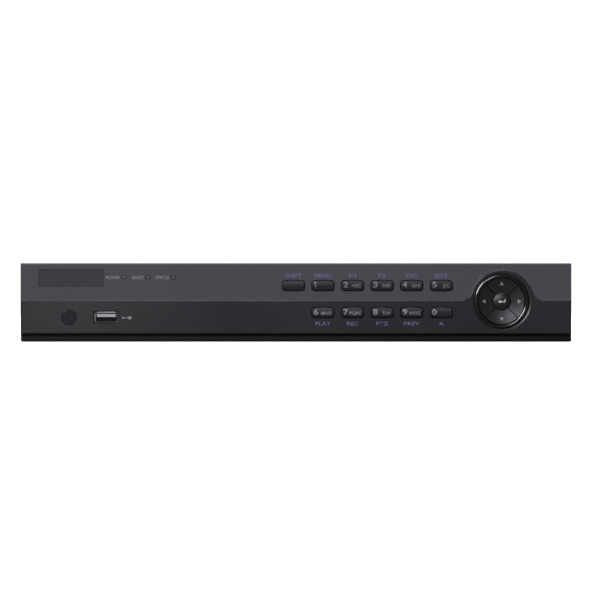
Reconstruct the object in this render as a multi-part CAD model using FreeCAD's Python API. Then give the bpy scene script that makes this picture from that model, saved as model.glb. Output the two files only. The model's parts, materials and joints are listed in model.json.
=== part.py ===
import FreeCAD, Part
import math
import os

# Video recorder: a low steel case with a moulded front panel, keys, boards, a drive, a fan and rear sockets.
# Millimetres. +X is to the right seen from the front, +Y towards the back, +Z up.
# The origin is on the surface that the feet stand on, at the middle of the overall width and depth.

V = FreeCAD.Vector
ALONG_X, ALONG_Y, ALONG_Z = V(1, 0, 0), V(0, 1, 0), V(0, 0, 1)

# Overall size
WIDTH, DEPTH, HEIGHT = 315.0, 242.0, 45.0
FRONT, REAR = -DEPTH / 2, DEPTH / 2
HALF_W = WIDTH / 2
SHEET = 1.0          # steel sheet thickness
SLIT = 0.1           # gap between pieces that lie against each other
KEY_GAP = 0.45       # gap round each key

# Front panel, from front to back
LOWER_FACE = FRONT + 0.9
UPPER_FACE = FRONT + 2.3
LIP_FACE = UPPER_FACE - 0.45
FASCIA_BACK = FRONT + 3.9
WALL_BACK = FASCIA_BACK + 2.0
FLANGE_FACE, FLANGE_BACK = WALL_BACK + 0.1, WALL_BACK + 0.9
DOME_TOP = FRONT + 9.0
MEMBRANE_FACE = FRONT + 10.4
BOARD_FACE = FRONT + 11.2
BOARD_BACK = BOARD_FACE + 1.6
BEZEL_REAR = FRONT + 18.0

# Front panel, heights and outlines
BEZEL_FOOT, STRIP_TOP, LOWER_FOOT = 0.15, 3.0, 4.35
SPLIT_Z = 24.05
RIM = 2.0            # thickness of the rim behind the front
LIP_W, COVE_R = 0.3, 0.4
END_R = 1.5          # rounding of the front's two ends
NAV_X, NAV_Z = 117.6, 23.2
HUMP_R, HUMP_FILLET = 18.1, 7.0
RING_OUT, RING_IN = 15.25, 13.55
PAD_R, PAD_HOLE_R, PAD_SLIT, ENTER_R = 13.25, 5.2, 0.45, 4.9
PAD_STEM_AT = 9.5    # distance of each arrow key's stem from the middle
STEM_R = 1.8

# Keys
KEY_W, KEY_SIDE, KEY_CORNER = 12.4, 4.9, 1.3
KEY_X0, KEY_PITCH = -1.5, 16.92
TOP_ROW_Z, LOW_ROW_Z = 32.1, 16.65
TOP_ROW_CROWNS, LOW_ROW_CROWNS = (0.55, 0.35), (0.7, 0.2)   # bow of the upper and lower edge
TOP_ROW = ["shift", "1", "2", "3", "4", "5"]
LOW_ROW = ["6", "7", "8", "9", "0"]

# Name plate, lights, infrared window, socket and board of the front panel
PLATE_X, PLATE_Z, PLATE_W, PLATE_H = -128.7, 36.7, 37.2, 9.7
LIGHTS_X, LIGHT_Z, LIGHT_W, LIGHT_H = [-98.4, -84.5, -70.3], 36.9, 3.2, 2.1
EYE_X, EYE_R, USB_X, WINDOW_Z = -129.8, 4.4, -108.5, 14.1
USB_W, USB_H, USB_WALL = 13.1, 5.7, 0.35
USB_MOUTH_W, USB_MOUTH_H = 14.9, 7.5
USB_RIM_W, USB_RIM_H, USB_RIM_GROW, USB_RIM_DEEP, USB_RIM_T = 12.2, 4.7, 2.4, 0.45, 0.3
USB_FACE, USB_BACK = LOWER_FACE + 0.8, BOARD_BACK + 1.7
BOARD_HALF_W, BOARD_Z0, BOARD_Z1 = 146.5, 5.5, 41.5
BOARD_BOSSES = [(x, z) for x in (-142.0, -40.0, 142.0) for z in (9.0, 38.0)]
BEZEL_BOSSES = [(x, z) for x in (-150.5, 150.5) for z in (9.0, 38.0)]

# Case
CASE_Z0 = 3.0
FLOOR_Z = CASE_Z0 + SHEET
COVER_TOP, COVER_FOOT, COVER_BEND = HEIGHT - 0.5, 3.6, 2.0
COVER_HALF_W = HALF_W - 1.0
BASE_HALF_W = COVER_HALF_W - SHEET - SLIT
PANEL_Y = REAR - 11.5          # outer face of the rear panel
PANEL_IN = PANEL_Y - SHEET
PANEL_TOP = COVER_TOP - SHEET - 2 * SLIT
FLANGE_TOP = 18.0
LIP_Z = 39.0                   # lower edge of the cover's rear lip
SIDE_SCREWS = [(y, 13.0) for y in (-80.0, 85.0)]
LIP_SCREWS = [(x, 41.2) for x in (-148.0, -16.0, 148.0)]
FOOT_R, FOOT_STUD_R = 8.0, 2.0
FEET = [(x, y) for x in (-140.0, 140.0) for y in (-86.0, 92.0)]

# Main board
MAIN_Z0, MAIN_Z1 = 7.0, 8.6
MAIN_X0, MAIN_X1, MAIN_Y0, MAIN_Y1 = -76.0, 150.0, 12.0, PANEL_IN - 0.6
MAIN_SCREWS = [(-71, 18), (-71, 70), (38, 18), (145, 18), (145, 60), (50, 88)]
SOC_X, SOC_Y, SOC_W, SOC_TOP = 40.0, 58.0, 27.0, 10.6
SINK_W, SINK_TOP, SINK_FINS = 36.0, 24.0, 11
MEMORY = [(12, 48), (12, 66), (68, 48), (68, 66)]
DECODERS = [(100, 72), (126, 72)]
CAPACITORS = [(-60, 82), (-48, 82), (-36, 78)]
HEADER_BACK = 20.0             # rear of the headers along the board's front edge

# Drive
DRIVE_X0, DRIVE_X1, DRIVE_Y0, DRIVE_Y1 = -150.0, -3.0, -97.6, 4.0
DRIVE_Z0, DRIVE_LID_Z, DRIVE_TOP = 7.5, 31.9, 33.6
DRIVE_MID_Y = (DRIVE_Y0 + DRIVE_Y1) / 2
DRIVE_SCREWS = [(DRIVE_X1 - a, DRIVE_MID_Y + b) for a in (41.28, 85.73) for b in (-47.625, 47.625)]
PLUG_X = -5.4                  # where the plugs meet the drive's sockets
DATA_Y, POWER_Y, DATA_X, POWER_X = -60.0, -30.0, 24.0, 10.5
LEAD_Z, DATA_LEAD_R, WIRE_R = 11.2, 2.4, 0.8
RIBBON_X0, RIBBON_X1, RIBBON_T = 60.0, 80.0, 1.0

# Rear sockets
BNC_PITCH, BNC_X0, BNC_Z0 = 15.5, 138.0, 15.0
BNC_BLOCK = [(BNC_X0 - BNC_PITCH * i, BNC_Z0 + BNC_PITCH * k) for i in range(4) for k in range(2)]
BNC_ALONE = (74.0, BNC_Z0)
BNC_BASE_R, BNC_SHOULDER_R, BNC_LUG_R, BNC_LUG_TIP, BNC_R, BNC_BORE = 6.3, 5.3, 4.6, 5.55, 4.83, 4.07
BNC_FRONT = 4.8                # length of the plain front stretch
AUDIO, AUDIO_R = [(56.5, 15.0), (56.5, 30.0)], 4.15
VIDEO_X, VIDEO_Z, JACKSCREW_AT = 27.0, 15.2, 24.99 / 2
VIDEO_TOP_W, VIDEO_FOOT_W, VIDEO_H = 16.9, 14.0, 8.3
DIGITAL_X, DIGITAL_Z, DIGITAL_W, DIGITAL_H = -2.0, 11.5, 15.0, 5.6
NETWORK_X, NETWORK_W, NETWORK_H = -24.0, 16.0, 13.5
CONTROL_X, CONTROL_W, CONTROL_TOP = -46.0, 15.2, 19.0
POWER_JACK_X, POWER_JACK_Z = -66.0, 15.1
GROUND_X, GROUND_Z = -79.5, 13.0
SWITCH_X, SWITCH_Z, ROCKER_TILT = -94.0, 22.0, 8.0
PIVOT_Y, ROCKER_R, ROCKER_W = PANEL_Y - 1.5, 8.6, 10.5
FAN_X, FAN_Z, FAN_W, FAN_DEEP = -131.0, 21.9, 35.0, 10.0
FAN_BORE, FAN_HUB, FAN_HOLE, FAN_BLADES = 16.4, 8.0, 14.5, 7
FAN_Y0, FAN_Y1 = PANEL_IN - SLIT - FAN_DEEP, PANEL_IN - SLIT
FAN_SCREWS = [(FAN_X + sx * FAN_HOLE, FAN_Z + sz * FAN_HOLE) for sx in (-1, 1) for sz in (-1, 1)]


# ---- helpers -------------------------------------------------------------------------------------

def box(x0, x1, y0, y1, z0, z1):
    return Part.makeBox(x1 - x0, y1 - y0, z1 - z0, V(x0, y0, z0))


def block(x, z, w, h, y0, y1):
    """A box centred on (x, z) seen from the front, from y0 to y1."""
    return box(x - w / 2, x + w / 2, y0, y1, z - h / 2, z + h / 2)


def slab(x, y, w, d, z0, z1):
    """A box centred on (x, y) seen from above, from z0 to z1."""
    return box(x - w / 2, x + w / 2, y - d / 2, y + d / 2, z0, z1)


def rod(r, x, z, y0, y1):
    return Part.makeCylinder(r, y1 - y0, V(x, y0, z), ALONG_Y)


def post(r, x, y, z0, z1):
    return Part.makeCylinder(r, z1 - z0, V(x, y, z0), ALONG_Z)


def bar(r, y, z, x0, x1):
    return Part.makeCylinder(r, x1 - x0, V(x0, y, z), ALONG_X)


def cone(r0, r1, x, z, y0, y1):
    return Part.makeCone(r0, r1, y1 - y0, V(x, y0, z), ALONG_Y)


def join(*shapes):
    return shapes[0].multiFuse(list(shapes[1:])).removeSplitter()


def cut(shape, *tools):
    return shape.cut(list(tools)).removeSplitter()


def outline(plane, start, *steps):
    """Edges from start on. A step is a point, or two points for an arc through the first to the second."""
    places = {"xz": lambda a, b: V(a, 0, b), "yz": lambda a, b: V(0, a, b), "xy": lambda a, b: V(a, b, 0)}
    place = places[plane]
    edges, here = [], place(*start)
    for step in steps:
        if isinstance(step[0], tuple):
            there = place(*step[1])
            edges.append(Part.Arc(here, place(*step[0]), there).toShape())
        else:
            there = place(*step)
            edges.append(Part.makeLine(here, there))
        here = there
    return edges


def prism(edges, low, high, axis=ALONG_Y):
    """The closed outline pushed along the axis, from low to high."""
    face = Part.Face(Part.Wire(edges))
    face.translate(axis * low)
    return face.extrude(axis * (high - low))


def spin(x, z, *profile):
    """A closed profile of (radius, y) steps turned about the axis along Y through (x, z)."""
    face = Part.Face(Part.Wire(outline("xy", *profile)))
    face.translate(V(x, 0, z))
    return face.revolve(V(x, 0, z), ALONG_Y, 360)


def softened(shape, radius, wanted):
    """Rounds the edges that wanted() picks."""
    return shape.makeFillet(radius, [e for e in shape.Edges if wanted(e)])


def runs(edge, axis):
    """True for a straight edge along the axis."""
    if edge.Curve.TypeId != "Part::GeomLine":
        return False
    return abs(abs(edge.tangentAt(edge.FirstParameter) * axis) - 1) < 1e-6


def in_plane(edge, y):
    """True for an edge that lies in the upright plane at that y."""
    return abs(edge.BoundBox.YMin - y) < 0.01 and abs(edge.BoundBox.YMax - y) < 0.01


def rounded_block(x, z, w, h, y0, y1, r):
    return softened(block(x, z, w, h, y0, y1), r, lambda e: runs(e, ALONG_Y))


def rounded_slab(x, y, w, d, z0, z1, r):
    return softened(slab(x, y, w, d, z0, z1), r, lambda e: runs(e, ALONG_Z))


def flared_block(x, z, w, h, grow, y0, y1):
    """A block centred on (x, z), w by h at y0 and larger by grow each way at y1."""
    wires = []
    for y, g in ((y0, 0.0), (y1, grow)):
        a, b = (w + g) / 2, (h + g) / 2
        corners = [V(x - a, y, z - b), V(x + a, y, z - b), V(x + a, y, z + b), V(x - a, y, z + b)]
        wires.append(Part.makePolygon(corners + corners[:1]))
    return Part.makeLoft(wires, True, True)


def rounded_path(points, r):
    """A wire along the points with a tangent arc of radius r at every corner."""
    edges, here = [], points[0]
    for before, corner, after in zip(points, points[1:], points[2:]):
        into, out = (corner - before).normalize(), (after - corner).normalize()
        turn = into.getAngle(out)
        leave, rejoin = corner - into * (r * math.tan(turn / 2)), corner + out * (r * math.tan(turn / 2))
        middle = corner + (out - into).normalize() * (r / math.cos(turn / 2) - r)
        edges += [Part.makeLine(here, leave), Part.Arc(leave, middle, rejoin).toShape()]
        here = rejoin
    return Part.Wire(edges + [Part.makeLine(here, points[-1])])


def lead(section, points, r):
    """A closed section wire swept along the rounded path."""
    return rounded_path(points, r).makePipeShell([section], True, False)


def ring_wire(radius, centre, axis):
    return Part.Wire([Part.makeCircle(radius, centre, axis)])


def screw(head_r, head_h, shank_r, length, seat, way):
    """A screw with a rounded head and a cross recess. Its head rests on seat, its shank points along way."""
    head = Part.makeCylinder(head_r, head_h)
    head = softened(head, head_h * 0.45, lambda e: e.BoundBox.ZMin > head_h - 0.01)
    shank = Part.makeCylinder(shank_r, length, V(0, 0, -length))
    shank = shank.makeChamfer(shank_r * 0.3, [e for e in shank.Edges if e.BoundBox.ZMax < 0.01 - length])
    arm, half = head_r * 0.62, head_r * 0.13
    recess = [Part.makeBox(2 * a, 2 * b, head_h, V(-a, -b, head_h * 0.45))
              for a, b in ((arm, half), (half, arm))]
    shape = cut(join(head, shank), *recess)
    shape.Placement = FreeCAD.Placement(seat, FreeCAD.Rotation(V(0, 0, -1), way))
    return shape


def save(name, *solids):
    """Writes one sub-part. Several solids stay separate in it."""
    shape = solids[0] if len(solids) == 1 else Part.makeCompound(list(solids))
    count = len(shape.Solids)
    if not shape.isValid() or count != len(solids):
        print("CHECK", name, "valid:", shape.isValid(), "solids:", count, "meant:", len(solids))
    shape.exportStep("parts/%s.step" % name)


# ---- outlines shared by several pieces -----------------------------------------------------------

def split_line(lift):
    """Steps of the line between the two fascias, from left to right over the hump, raised by lift."""
    rise, reach = SPLIT_Z + HUMP_FILLET - NAV_Z, HUMP_R + HUMP_FILLET
    run = math.sqrt(reach ** 2 - rise ** 2)
    half_turn = math.atan2(run, rise) / 2
    bend_r, hump_r = HUMP_FILLET - lift, HUMP_R + lift
    foot, level = run, SPLIT_Z + lift
    bend = (run - bend_r * math.sin(half_turn), SPLIT_Z + HUMP_FILLET - bend_r * math.cos(half_turn))
    meet = (run * hump_r / reach, NAV_Z + rise * hump_r / reach)
    left = [(-HALF_W, level), (NAV_X - foot, level),
            ((NAV_X - bend[0], bend[1]), (NAV_X - meet[0], meet[1]))]
    right = [((NAV_X + bend[0], bend[1]), (NAV_X + foot, level)), (HALF_W, level)]
    return left + [((NAV_X, NAV_Z + hump_r), (NAV_X + meet[0], meet[1]))] + right


def above_line(lift, y0, y1):
    edges = outline("xz", *split_line(lift), (HALF_W, HEIGHT), (-HALF_W, HEIGHT), (-HALF_W, SPLIT_Z + lift))
    return prism(edges, y0, y1)


def below_line(lift, y0, y1):
    edges = outline("xz", *split_line(lift), (HALF_W, LOWER_FOOT), (-HALF_W, LOWER_FOOT),
                    (-HALF_W, SPLIT_Z + lift))
    return prism(edges, y0, y1)


def between_ends():
    """Space with rounded front corners that holds the front's two ends."""
    near, k = LOWER_FACE, END_R * (1 - math.sqrt(0.5))
    edges = outline("xy", (-HALF_W, BEZEL_REAR), (-HALF_W, near + END_R),
                    ((-HALF_W + k, near + k), (-HALF_W + END_R, near)), (HALF_W - END_R, near),
                    ((HALF_W - k, near + k), (HALF_W, near + END_R)), (HALF_W, BEZEL_REAR),
                    (-HALF_W, BEZEL_REAR))
    return prism(edges, 0, HEIGHT, ALONG_Z)


def key_places():
    """Name, x, z, face and crowns of each rectangular key."""
    top = [("key_" + n, KEY_X0 + KEY_PITCH * i, TOP_ROW_Z, UPPER_FACE - 0.9, TOP_ROW_CROWNS)
           for i, n in enumerate(TOP_ROW)]
    low = [("key_" + n, KEY_X0 + KEY_PITCH * (i + 1), LOW_ROW_Z, LOWER_FACE - 0.7, LOW_ROW_CROWNS)
           for i, n in enumerate(LOW_ROW)]
    return top + low


def key_outline(x, z, crowns, grow, y0, y1):
    """The rounded key shape, larger by grow all round, from y0 to y1."""
    w, s = KEY_W / 2 + grow, KEY_SIDE / 2 + grow
    edges = outline("xz", (x - w, z + s), ((x, z + s + crowns[0]), (x + w, z + s)), (x + w, z - s),
                    ((x, z - s - crowns[1]), (x - w, z - s)), (x - w, z + s))
    return softened(prism(edges, y0, y1), KEY_CORNER + grow, lambda e: runs(e, ALONG_Y))


def key_holes(y0, y1):
    return [key_outline(x, z, crowns, KEY_GAP, y0, y1) for _, x, z, _, crowns in key_places()]


def pad_stems():
    return [(NAV_X, NAV_Z + PAD_STEM_AT), (NAV_X + PAD_STEM_AT, NAV_Z),
            (NAV_X, NAV_Z - PAD_STEM_AT), (NAV_X - PAD_STEM_AT, NAV_Z)]


# ---- front panel ---------------------------------------------------------------------------------

def upper_fascia():
    lip = above_line(0, LIP_FACE, UPPER_FACE).cut(above_line(LIP_W, LIP_FACE - 1, UPPER_FACE + 1))
    body = join(above_line(0, UPPER_FACE, FASCIA_BACK), lip)
    body = softened(body, COVE_R, lambda e: in_plane(e, UPPER_FACE) and e.BoundBox.ZMax < HEIGHT - 0.5)
    body = softened(body, 1.0, lambda e: in_plane(e, UPPER_FACE) and e.BoundBox.ZMin > HEIGHT - 0.01)
    body = body.common(between_ends())
    lights = [block(x, LIGHT_Z, LIGHT_W + SLIT, LIGHT_H + SLIT, LIP_FACE, WALL_BACK) for x in LIGHTS_X]
    plate = block(PLATE_X, PLATE_Z, PLATE_W, PLATE_H, LIP_FACE, UPPER_FACE + 0.7)
    return cut(body, plate, *lights, *key_holes(FRONT, WALL_BACK))


def lower_fascia():
    body = below_line(-SLIT, LOWER_FACE, FASCIA_BACK)
    body = softened(body, 0.6, lambda e: in_plane(e, LOWER_FACE) and e.BoundBox.ZMin > SPLIT_Z - 1)
    body = softened(body, 1.0, lambda e: in_plane(e, LOWER_FACE) and e.BoundBox.ZMax < LOWER_FOOT + 0.01)
    body = body.common(between_ends())
    ring = rod(RING_OUT + SLIT, NAV_X, NAV_Z, FRONT, WALL_BACK)
    dish = cone(HUMP_R - 1.2, RING_OUT, NAV_X, NAV_Z, LOWER_FACE, LOWER_FACE + 0.6)
    eye = rod(EYE_R + SLIT, EYE_X, WINDOW_Z, FRONT, WALL_BACK)
    mouth = block(USB_X, WINDOW_Z, USB_MOUTH_W, USB_MOUTH_H, FRONT, USB_FACE + 1.0)
    throat = block(USB_X, WINDOW_Z, USB_W + 0.6, USB_H + 0.6, FRONT, WALL_BACK)
    return cut(body, ring, dish, eye, mouth, throat, *key_holes(FRONT, WALL_BACK))


def front_bezel():
    strip_face = LOWER_FACE + 0.7
    shell = join(box(-HALF_W, HALF_W, FASCIA_BACK, BEZEL_REAR, BEZEL_FOOT, HEIGHT),
                 box(-HALF_W, HALF_W, strip_face, FASCIA_BACK, BEZEL_FOOT, STRIP_TOP))
    shell = softened(shell, 0.6, lambda e: in_plane(e, strip_face) and runs(e, ALONG_X))
    shell = softened(shell, 1.2, lambda e: runs(e, ALONG_Y) and e.BoundBox.ZMax < HEIGHT / 2)
    shell = shell.common(between_ends())
    hollow = box(RIM - HALF_W, HALF_W - RIM, WALL_BACK, BEZEL_REAR + 1, BEZEL_FOOT + RIM, HEIGHT - RIM)
    bosses = [rod(3.0, x, z, WALL_BACK, BOARD_FACE) for x, z in BOARD_BOSSES]
    bosses += [rod(2.5, x, z, WALL_BACK, BEZEL_REAR) for x, z in BEZEL_BOSSES]
    ribs = [box(x - 0.5, x + 0.5, WALL_BACK, BEZEL_REAR - 4, BEZEL_FOOT + RIM, BEZEL_FOOT + RIM + 1.5)
            for x in range(-130, 131, 20)]
    shell = join(cut(shell, hollow), *bosses, *ribs)
    tools = key_holes(FRONT, WALL_BACK + 0.5)
    tools.append(rod(RING_IN + 0.05, NAV_X, NAV_Z, FRONT, WALL_BACK + 0.5))
    tools.append(rod(EYE_R - 0.6, EYE_X, WINDOW_Z, FRONT, WALL_BACK + 0.5))
    tools.append(block(USB_X, WINDOW_Z, USB_W + 0.6, USB_H + 0.6, FRONT, WALL_BACK + 0.5))
    tools += [block(x, LIGHT_Z, LIGHT_W + SLIT, LIGHT_H + SLIT, FRONT, WALL_BACK + 0.5) for x in LIGHTS_X]
    tools += [rod(1.15, x, z, WALL_BACK + 0.6, BOARD_FACE + 1) for x, z in BOARD_BOSSES]
    tools += [rod(1.15, x, z, WALL_BACK + 3, BEZEL_REAR + 1) for x, z in BEZEL_BOSSES]
    return cut(shell, *tools)


def name_plate():
    face = UPPER_FACE + 0.25
    plate = rounded_block(PLATE_X, PLATE_Z, PLATE_W - 0.3, PLATE_H - 0.3, face, UPPER_FACE + 0.7, 0.4)
    return softened(plate, 0.15, lambda e: in_plane(e, face))


def light_pipe(x):
    pipe = block(x, LIGHT_Z, LIGHT_W, LIGHT_H, UPPER_FACE + 0.1, BOARD_FACE - 0.75)
    return join(pipe, block(x, LIGHT_Z, LIGHT_W + 1.6, LIGHT_H + 1.6, WALL_BACK, WALL_BACK + 0.9))


def ir_window():
    face = LOWER_FACE + 0.15
    return softened(rod(EYE_R, EYE_X, WINDOW_Z, face, FASCIA_BACK), 0.25, lambda e: in_plane(e, face))


def usb_rim():
    """Four steel tabs round the socket's mouth, folded out and sloping back, with a gap at each corner."""
    edge = USB_FACE + USB_RIM_DEEP
    back = edge + USB_RIM_T
    wide, tall = USB_RIM_W + USB_RIM_GROW, USB_RIM_H + USB_RIM_GROW
    plate = join(flared_block(USB_X, WINDOW_Z, USB_RIM_W, USB_RIM_H, USB_RIM_GROW, USB_FACE, edge),
                 block(USB_X, WINDOW_Z, wide, tall, edge, back))
    tabs = join(block(USB_X, WINDOW_Z, 10.6, tall + 1, FRONT, back + 1),
                block(USB_X, WINDOW_Z, wide + 1, 3.8, FRONT, back + 1))
    return cut(plate.common(tabs), block(USB_X, WINDOW_Z, USB_RIM_W, USB_RIM_H, FRONT, back + 1))


def usb_shell():
    """A steel tube with a folded rim at its mouth and four holes for its spring leaves."""
    edge = USB_FACE + USB_RIM_DEEP
    outer = rounded_block(USB_X, WINDOW_Z, USB_W, USB_H, edge, USB_BACK, 0.5)
    inner = block(USB_X, WINDOW_Z, USB_W - 2 * USB_WALL, USB_H - 2 * USB_WALL, edge - 1, USB_BACK - USB_WALL)
    reach = (USB_H - USB_WALL) / 2
    leaves = [block(USB_X + dx, WINDOW_Z + side * reach, 1.8, 1.0, USB_FACE + 3.2, USB_FACE + 7.0)
              for dx in (-3.2, 3.2) for side in (-1, 1)]
    return join(cut(outer, inner, *leaves), usb_rim())


def usb_tongue():
    face, back = USB_FACE + 1.0, USB_BACK - USB_WALL
    tongue = block(USB_X, WINDOW_Z + 0.95, 11.1, 1.84, face, back)
    tongue = softened(tongue, 0.4, lambda e: in_plane(e, face) and runs(e, ALONG_X))
    heel = block(USB_X, WINDOW_Z, USB_W - 2 * USB_WALL, USB_H - 2 * USB_WALL, back - 2.5, back)
    return join(tongue, heel)


def nav_ring():
    crest = (RING_OUT + RING_IN) / 2
    return spin(NAV_X, NAV_Z, (RING_IN, FASCIA_BACK), (RING_OUT, FASCIA_BACK), (RING_OUT, FRONT + 0.25),
                ((crest, FRONT), (RING_IN, FRONT + 0.25)), (RING_IN, FASCIA_BACK))


def key(x, z, face, crowns):
    """A cap with a bowed front, the flange that keeps it in, and the stem that presses the rubber dome."""
    bow_r = 9.0
    cap = key_outline(x, z, crowns, 0, face - 1, FLANGE_FACE)
    cap = cap.common(bar(bow_r, face + bow_r, z + 0.25, x - KEY_W, x + KEY_W))
    cap = softened(cap, 0.35, lambda e: e.BoundBox.YMax < face + 1.2)
    flange = key_outline(x, z, crowns, 1.1, FLANGE_FACE, FLANGE_BACK)
    return join(cap, flange, rod(STEM_R, x, z, FLANGE_BACK, DOME_TOP - 0.05))


def arrow_keys():
    """A dished ring cut into four along its diagonals, in the order up, right, down, left."""
    rim, well, wide = FRONT + 0.5, FRONT + 2.1, PAD_R + 1.5
    middle = ((PAD_R + PAD_HOLE_R) / 2, (rim + well) / 2 + 0.12)
    ring = spin(NAV_X, NAV_Z, (PAD_HOLE_R, well), (PAD_HOLE_R, FLANGE_BACK), (wide, FLANGE_BACK),
                (wide, FLANGE_FACE), (PAD_R, FLANGE_FACE), (PAD_R, rim + 0.35), (PAD_R - 0.35, rim),
                (middle, (PAD_HOLE_R, well)))
    reach, lift = 30.0, PAD_SLIT / math.sqrt(2)
    keys = []
    for turn, (x, z) in enumerate(pad_stems()):
        wedge = prism(outline("xz", (0, lift), (reach, reach + lift), (-reach, reach + lift), (0, lift)),
                      FRONT - 1, BOARD_FACE)
        wedge.rotate(V(0, 0, 0), ALONG_Y, 90 * turn)
        wedge.translate(V(NAV_X, 0, NAV_Z))
        keys.append(join(ring.common(wedge), rod(STEM_R, x, z, FLANGE_BACK, DOME_TOP - 0.05)))
    return keys


def enter_key():
    flange, back, tip = FLANGE_BACK + 0.9, FLANGE_BACK + 1.7, DOME_TOP - 0.05
    return spin(NAV_X, NAV_Z, (0, FRONT + 0.2), ((2.6, FRONT + 0.38), (ENTER_R - 0.3, FRONT + 0.95)),
                (ENTER_R, FRONT + 1.25), (ENTER_R, flange), (6.0, flange), (6.0, back), (STEM_R, back),
                (STEM_R, tip), (0, tip), (0, FRONT + 0.2))


def keypad_membrane():
    """A rubber sheet on the front board with one hollow dome behind every key."""
    domes = [(x, z) for _, x, z, _, _ in key_places()] + pad_stems() + [(NAV_X, NAV_Z)]
    sheet = rounded_block(62.0, 24.2, 148.0, 33.5, MEMBRANE_FACE, BOARD_FACE, 2.0)
    shape = join(sheet, *[cone(2.2, 3.4, x, z, DOME_TOP, MEMBRANE_FACE) for x, z in domes])
    return cut(shape, *[cone(1.6, 2.8, x, z, DOME_TOP + 0.6, BOARD_FACE) for x, z in domes])


def front_board():
    """The board with its socket header, three lamps and infrared receiver."""
    board = box(-BOARD_HALF_W, BOARD_HALF_W, BOARD_FACE, BOARD_BACK, BOARD_Z0, BOARD_Z1)
    header = block((RIBBON_X0 + RIBBON_X1) / 2, 15.0, 25.0, 6.0, BOARD_BACK, BOARD_BACK + 3.6)
    holes = [rod(1.3, x, z, BOARD_FACE - 1, BOARD_BACK + 1) for x, z in BOARD_BOSSES]
    gap = block(USB_X, WINDOW_Z, USB_W + 0.4, USB_H + 0.4, BOARD_FACE - 1, BOARD_BACK + 1)
    lamps = [block(x, LIGHT_Z, 2.8, 1.4, BOARD_FACE - 0.7, BOARD_FACE) for x in LIGHTS_X]
    case = block(EYE_X, WINDOW_Z, 5.6, 6.4, BOARD_FACE - 3.2, BOARD_FACE)
    lens = Part.makeSphere(2.2, V(EYE_X, BOARD_FACE - 3.2, WINDOW_Z))
    return [cut(join(board, header), gap, *holes), *lamps, join(case, lens)]


def front_panel_screws():
    """Screws through the front board, and screws from inside the case into the front panel."""
    short = [screw(2.4, 1.4, 1.1, 5.6, V(x, BOARD_BACK, z), -ALONG_Y) for x, z in BOARD_BOSSES]
    long = [screw(2.4, 1.4, 1.1, 9.0, V(x, BEZEL_REAR + SHEET, z), -ALONG_Y) for x, z in BEZEL_BOSSES]
    return short + long


# ---- case ----------------------------------------------------------------------------------------

def fan_grille():
    """Ring slots left open between four spokes."""
    slots = []
    for inner in (4.2, 7.4, 10.6, 13.6):
        ring = cut(rod(inner + 1.7, FAN_X, FAN_Z, PANEL_IN - 1, PANEL_Y + 1),
                   rod(inner, FAN_X, FAN_Z, PANEL_IN - 2, PANEL_Y + 2),
                   block(FAN_X, FAN_Z, 2.0, 40, PANEL_IN - 2, PANEL_Y + 2),
                   block(FAN_X, FAN_Z, 40, 2.0, PANEL_IN - 2, PANEL_Y + 2))
        slots += ring.Solids
    return slots


def rear_openings():
    y0, y1 = PANEL_IN - 0.5, PANEL_Y + 0.5
    tools = [rod(BNC_BASE_R + 0.2, x, z, y0, y1) for x, z in BNC_BLOCK + [BNC_ALONE]]
    tools += [rod(5.0, x, z, y0, y1) for x, z in AUDIO]
    tools += [rod(1.9, VIDEO_X + side * JACKSCREW_AT, VIDEO_Z, y0, y1) for side in (-1, 1)]
    tools.append(block(VIDEO_X, VIDEO_Z, VIDEO_TOP_W + 0.4, VIDEO_H + 0.4, y0, y1))
    tools.append(block(DIGITAL_X, DIGITAL_Z, DIGITAL_W + 0.4, DIGITAL_H + 0.4, y0, y1))
    tools.append(block(NETWORK_X, MAIN_Z1 + NETWORK_H / 2, NETWORK_W + 0.3, NETWORK_H + 0.3, y0, y1))
    tools.append(block(CONTROL_X, (MAIN_Z1 + CONTROL_TOP) / 2, CONTROL_W + 0.3,
                       CONTROL_TOP - MAIN_Z1 + 0.3, y0, y1))
    tools.append(rod(4.6, POWER_JACK_X, POWER_JACK_Z, y0, y1))
    tools.append(rod(2.0, GROUND_X, GROUND_Z, y0, y1))
    tools.append(block(SWITCH_X, SWITCH_Z, 12.8, 19.2, y0, y1))
    tools += [rod(1.5, x, z, y0, y1) for x, z in FAN_SCREWS]
    tools += [rod(1.25, x, z, y0, y1) for x, z in LIP_SCREWS]
    return tools + fan_grille()


def floor_openings():
    z0, z1 = CASE_Z0 - 0.5, FLOOR_Z + 0.5
    slots = [rounded_slab(x, y, 2.5, 22.0, z0, z1, 1.2) for x in range(62, 129, 6) for y in (34, 62)]
    studs = [post(FOOT_STUD_R + 0.1, x, y, z0, z1) for x, y in FEET]
    return slots + studs


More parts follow.
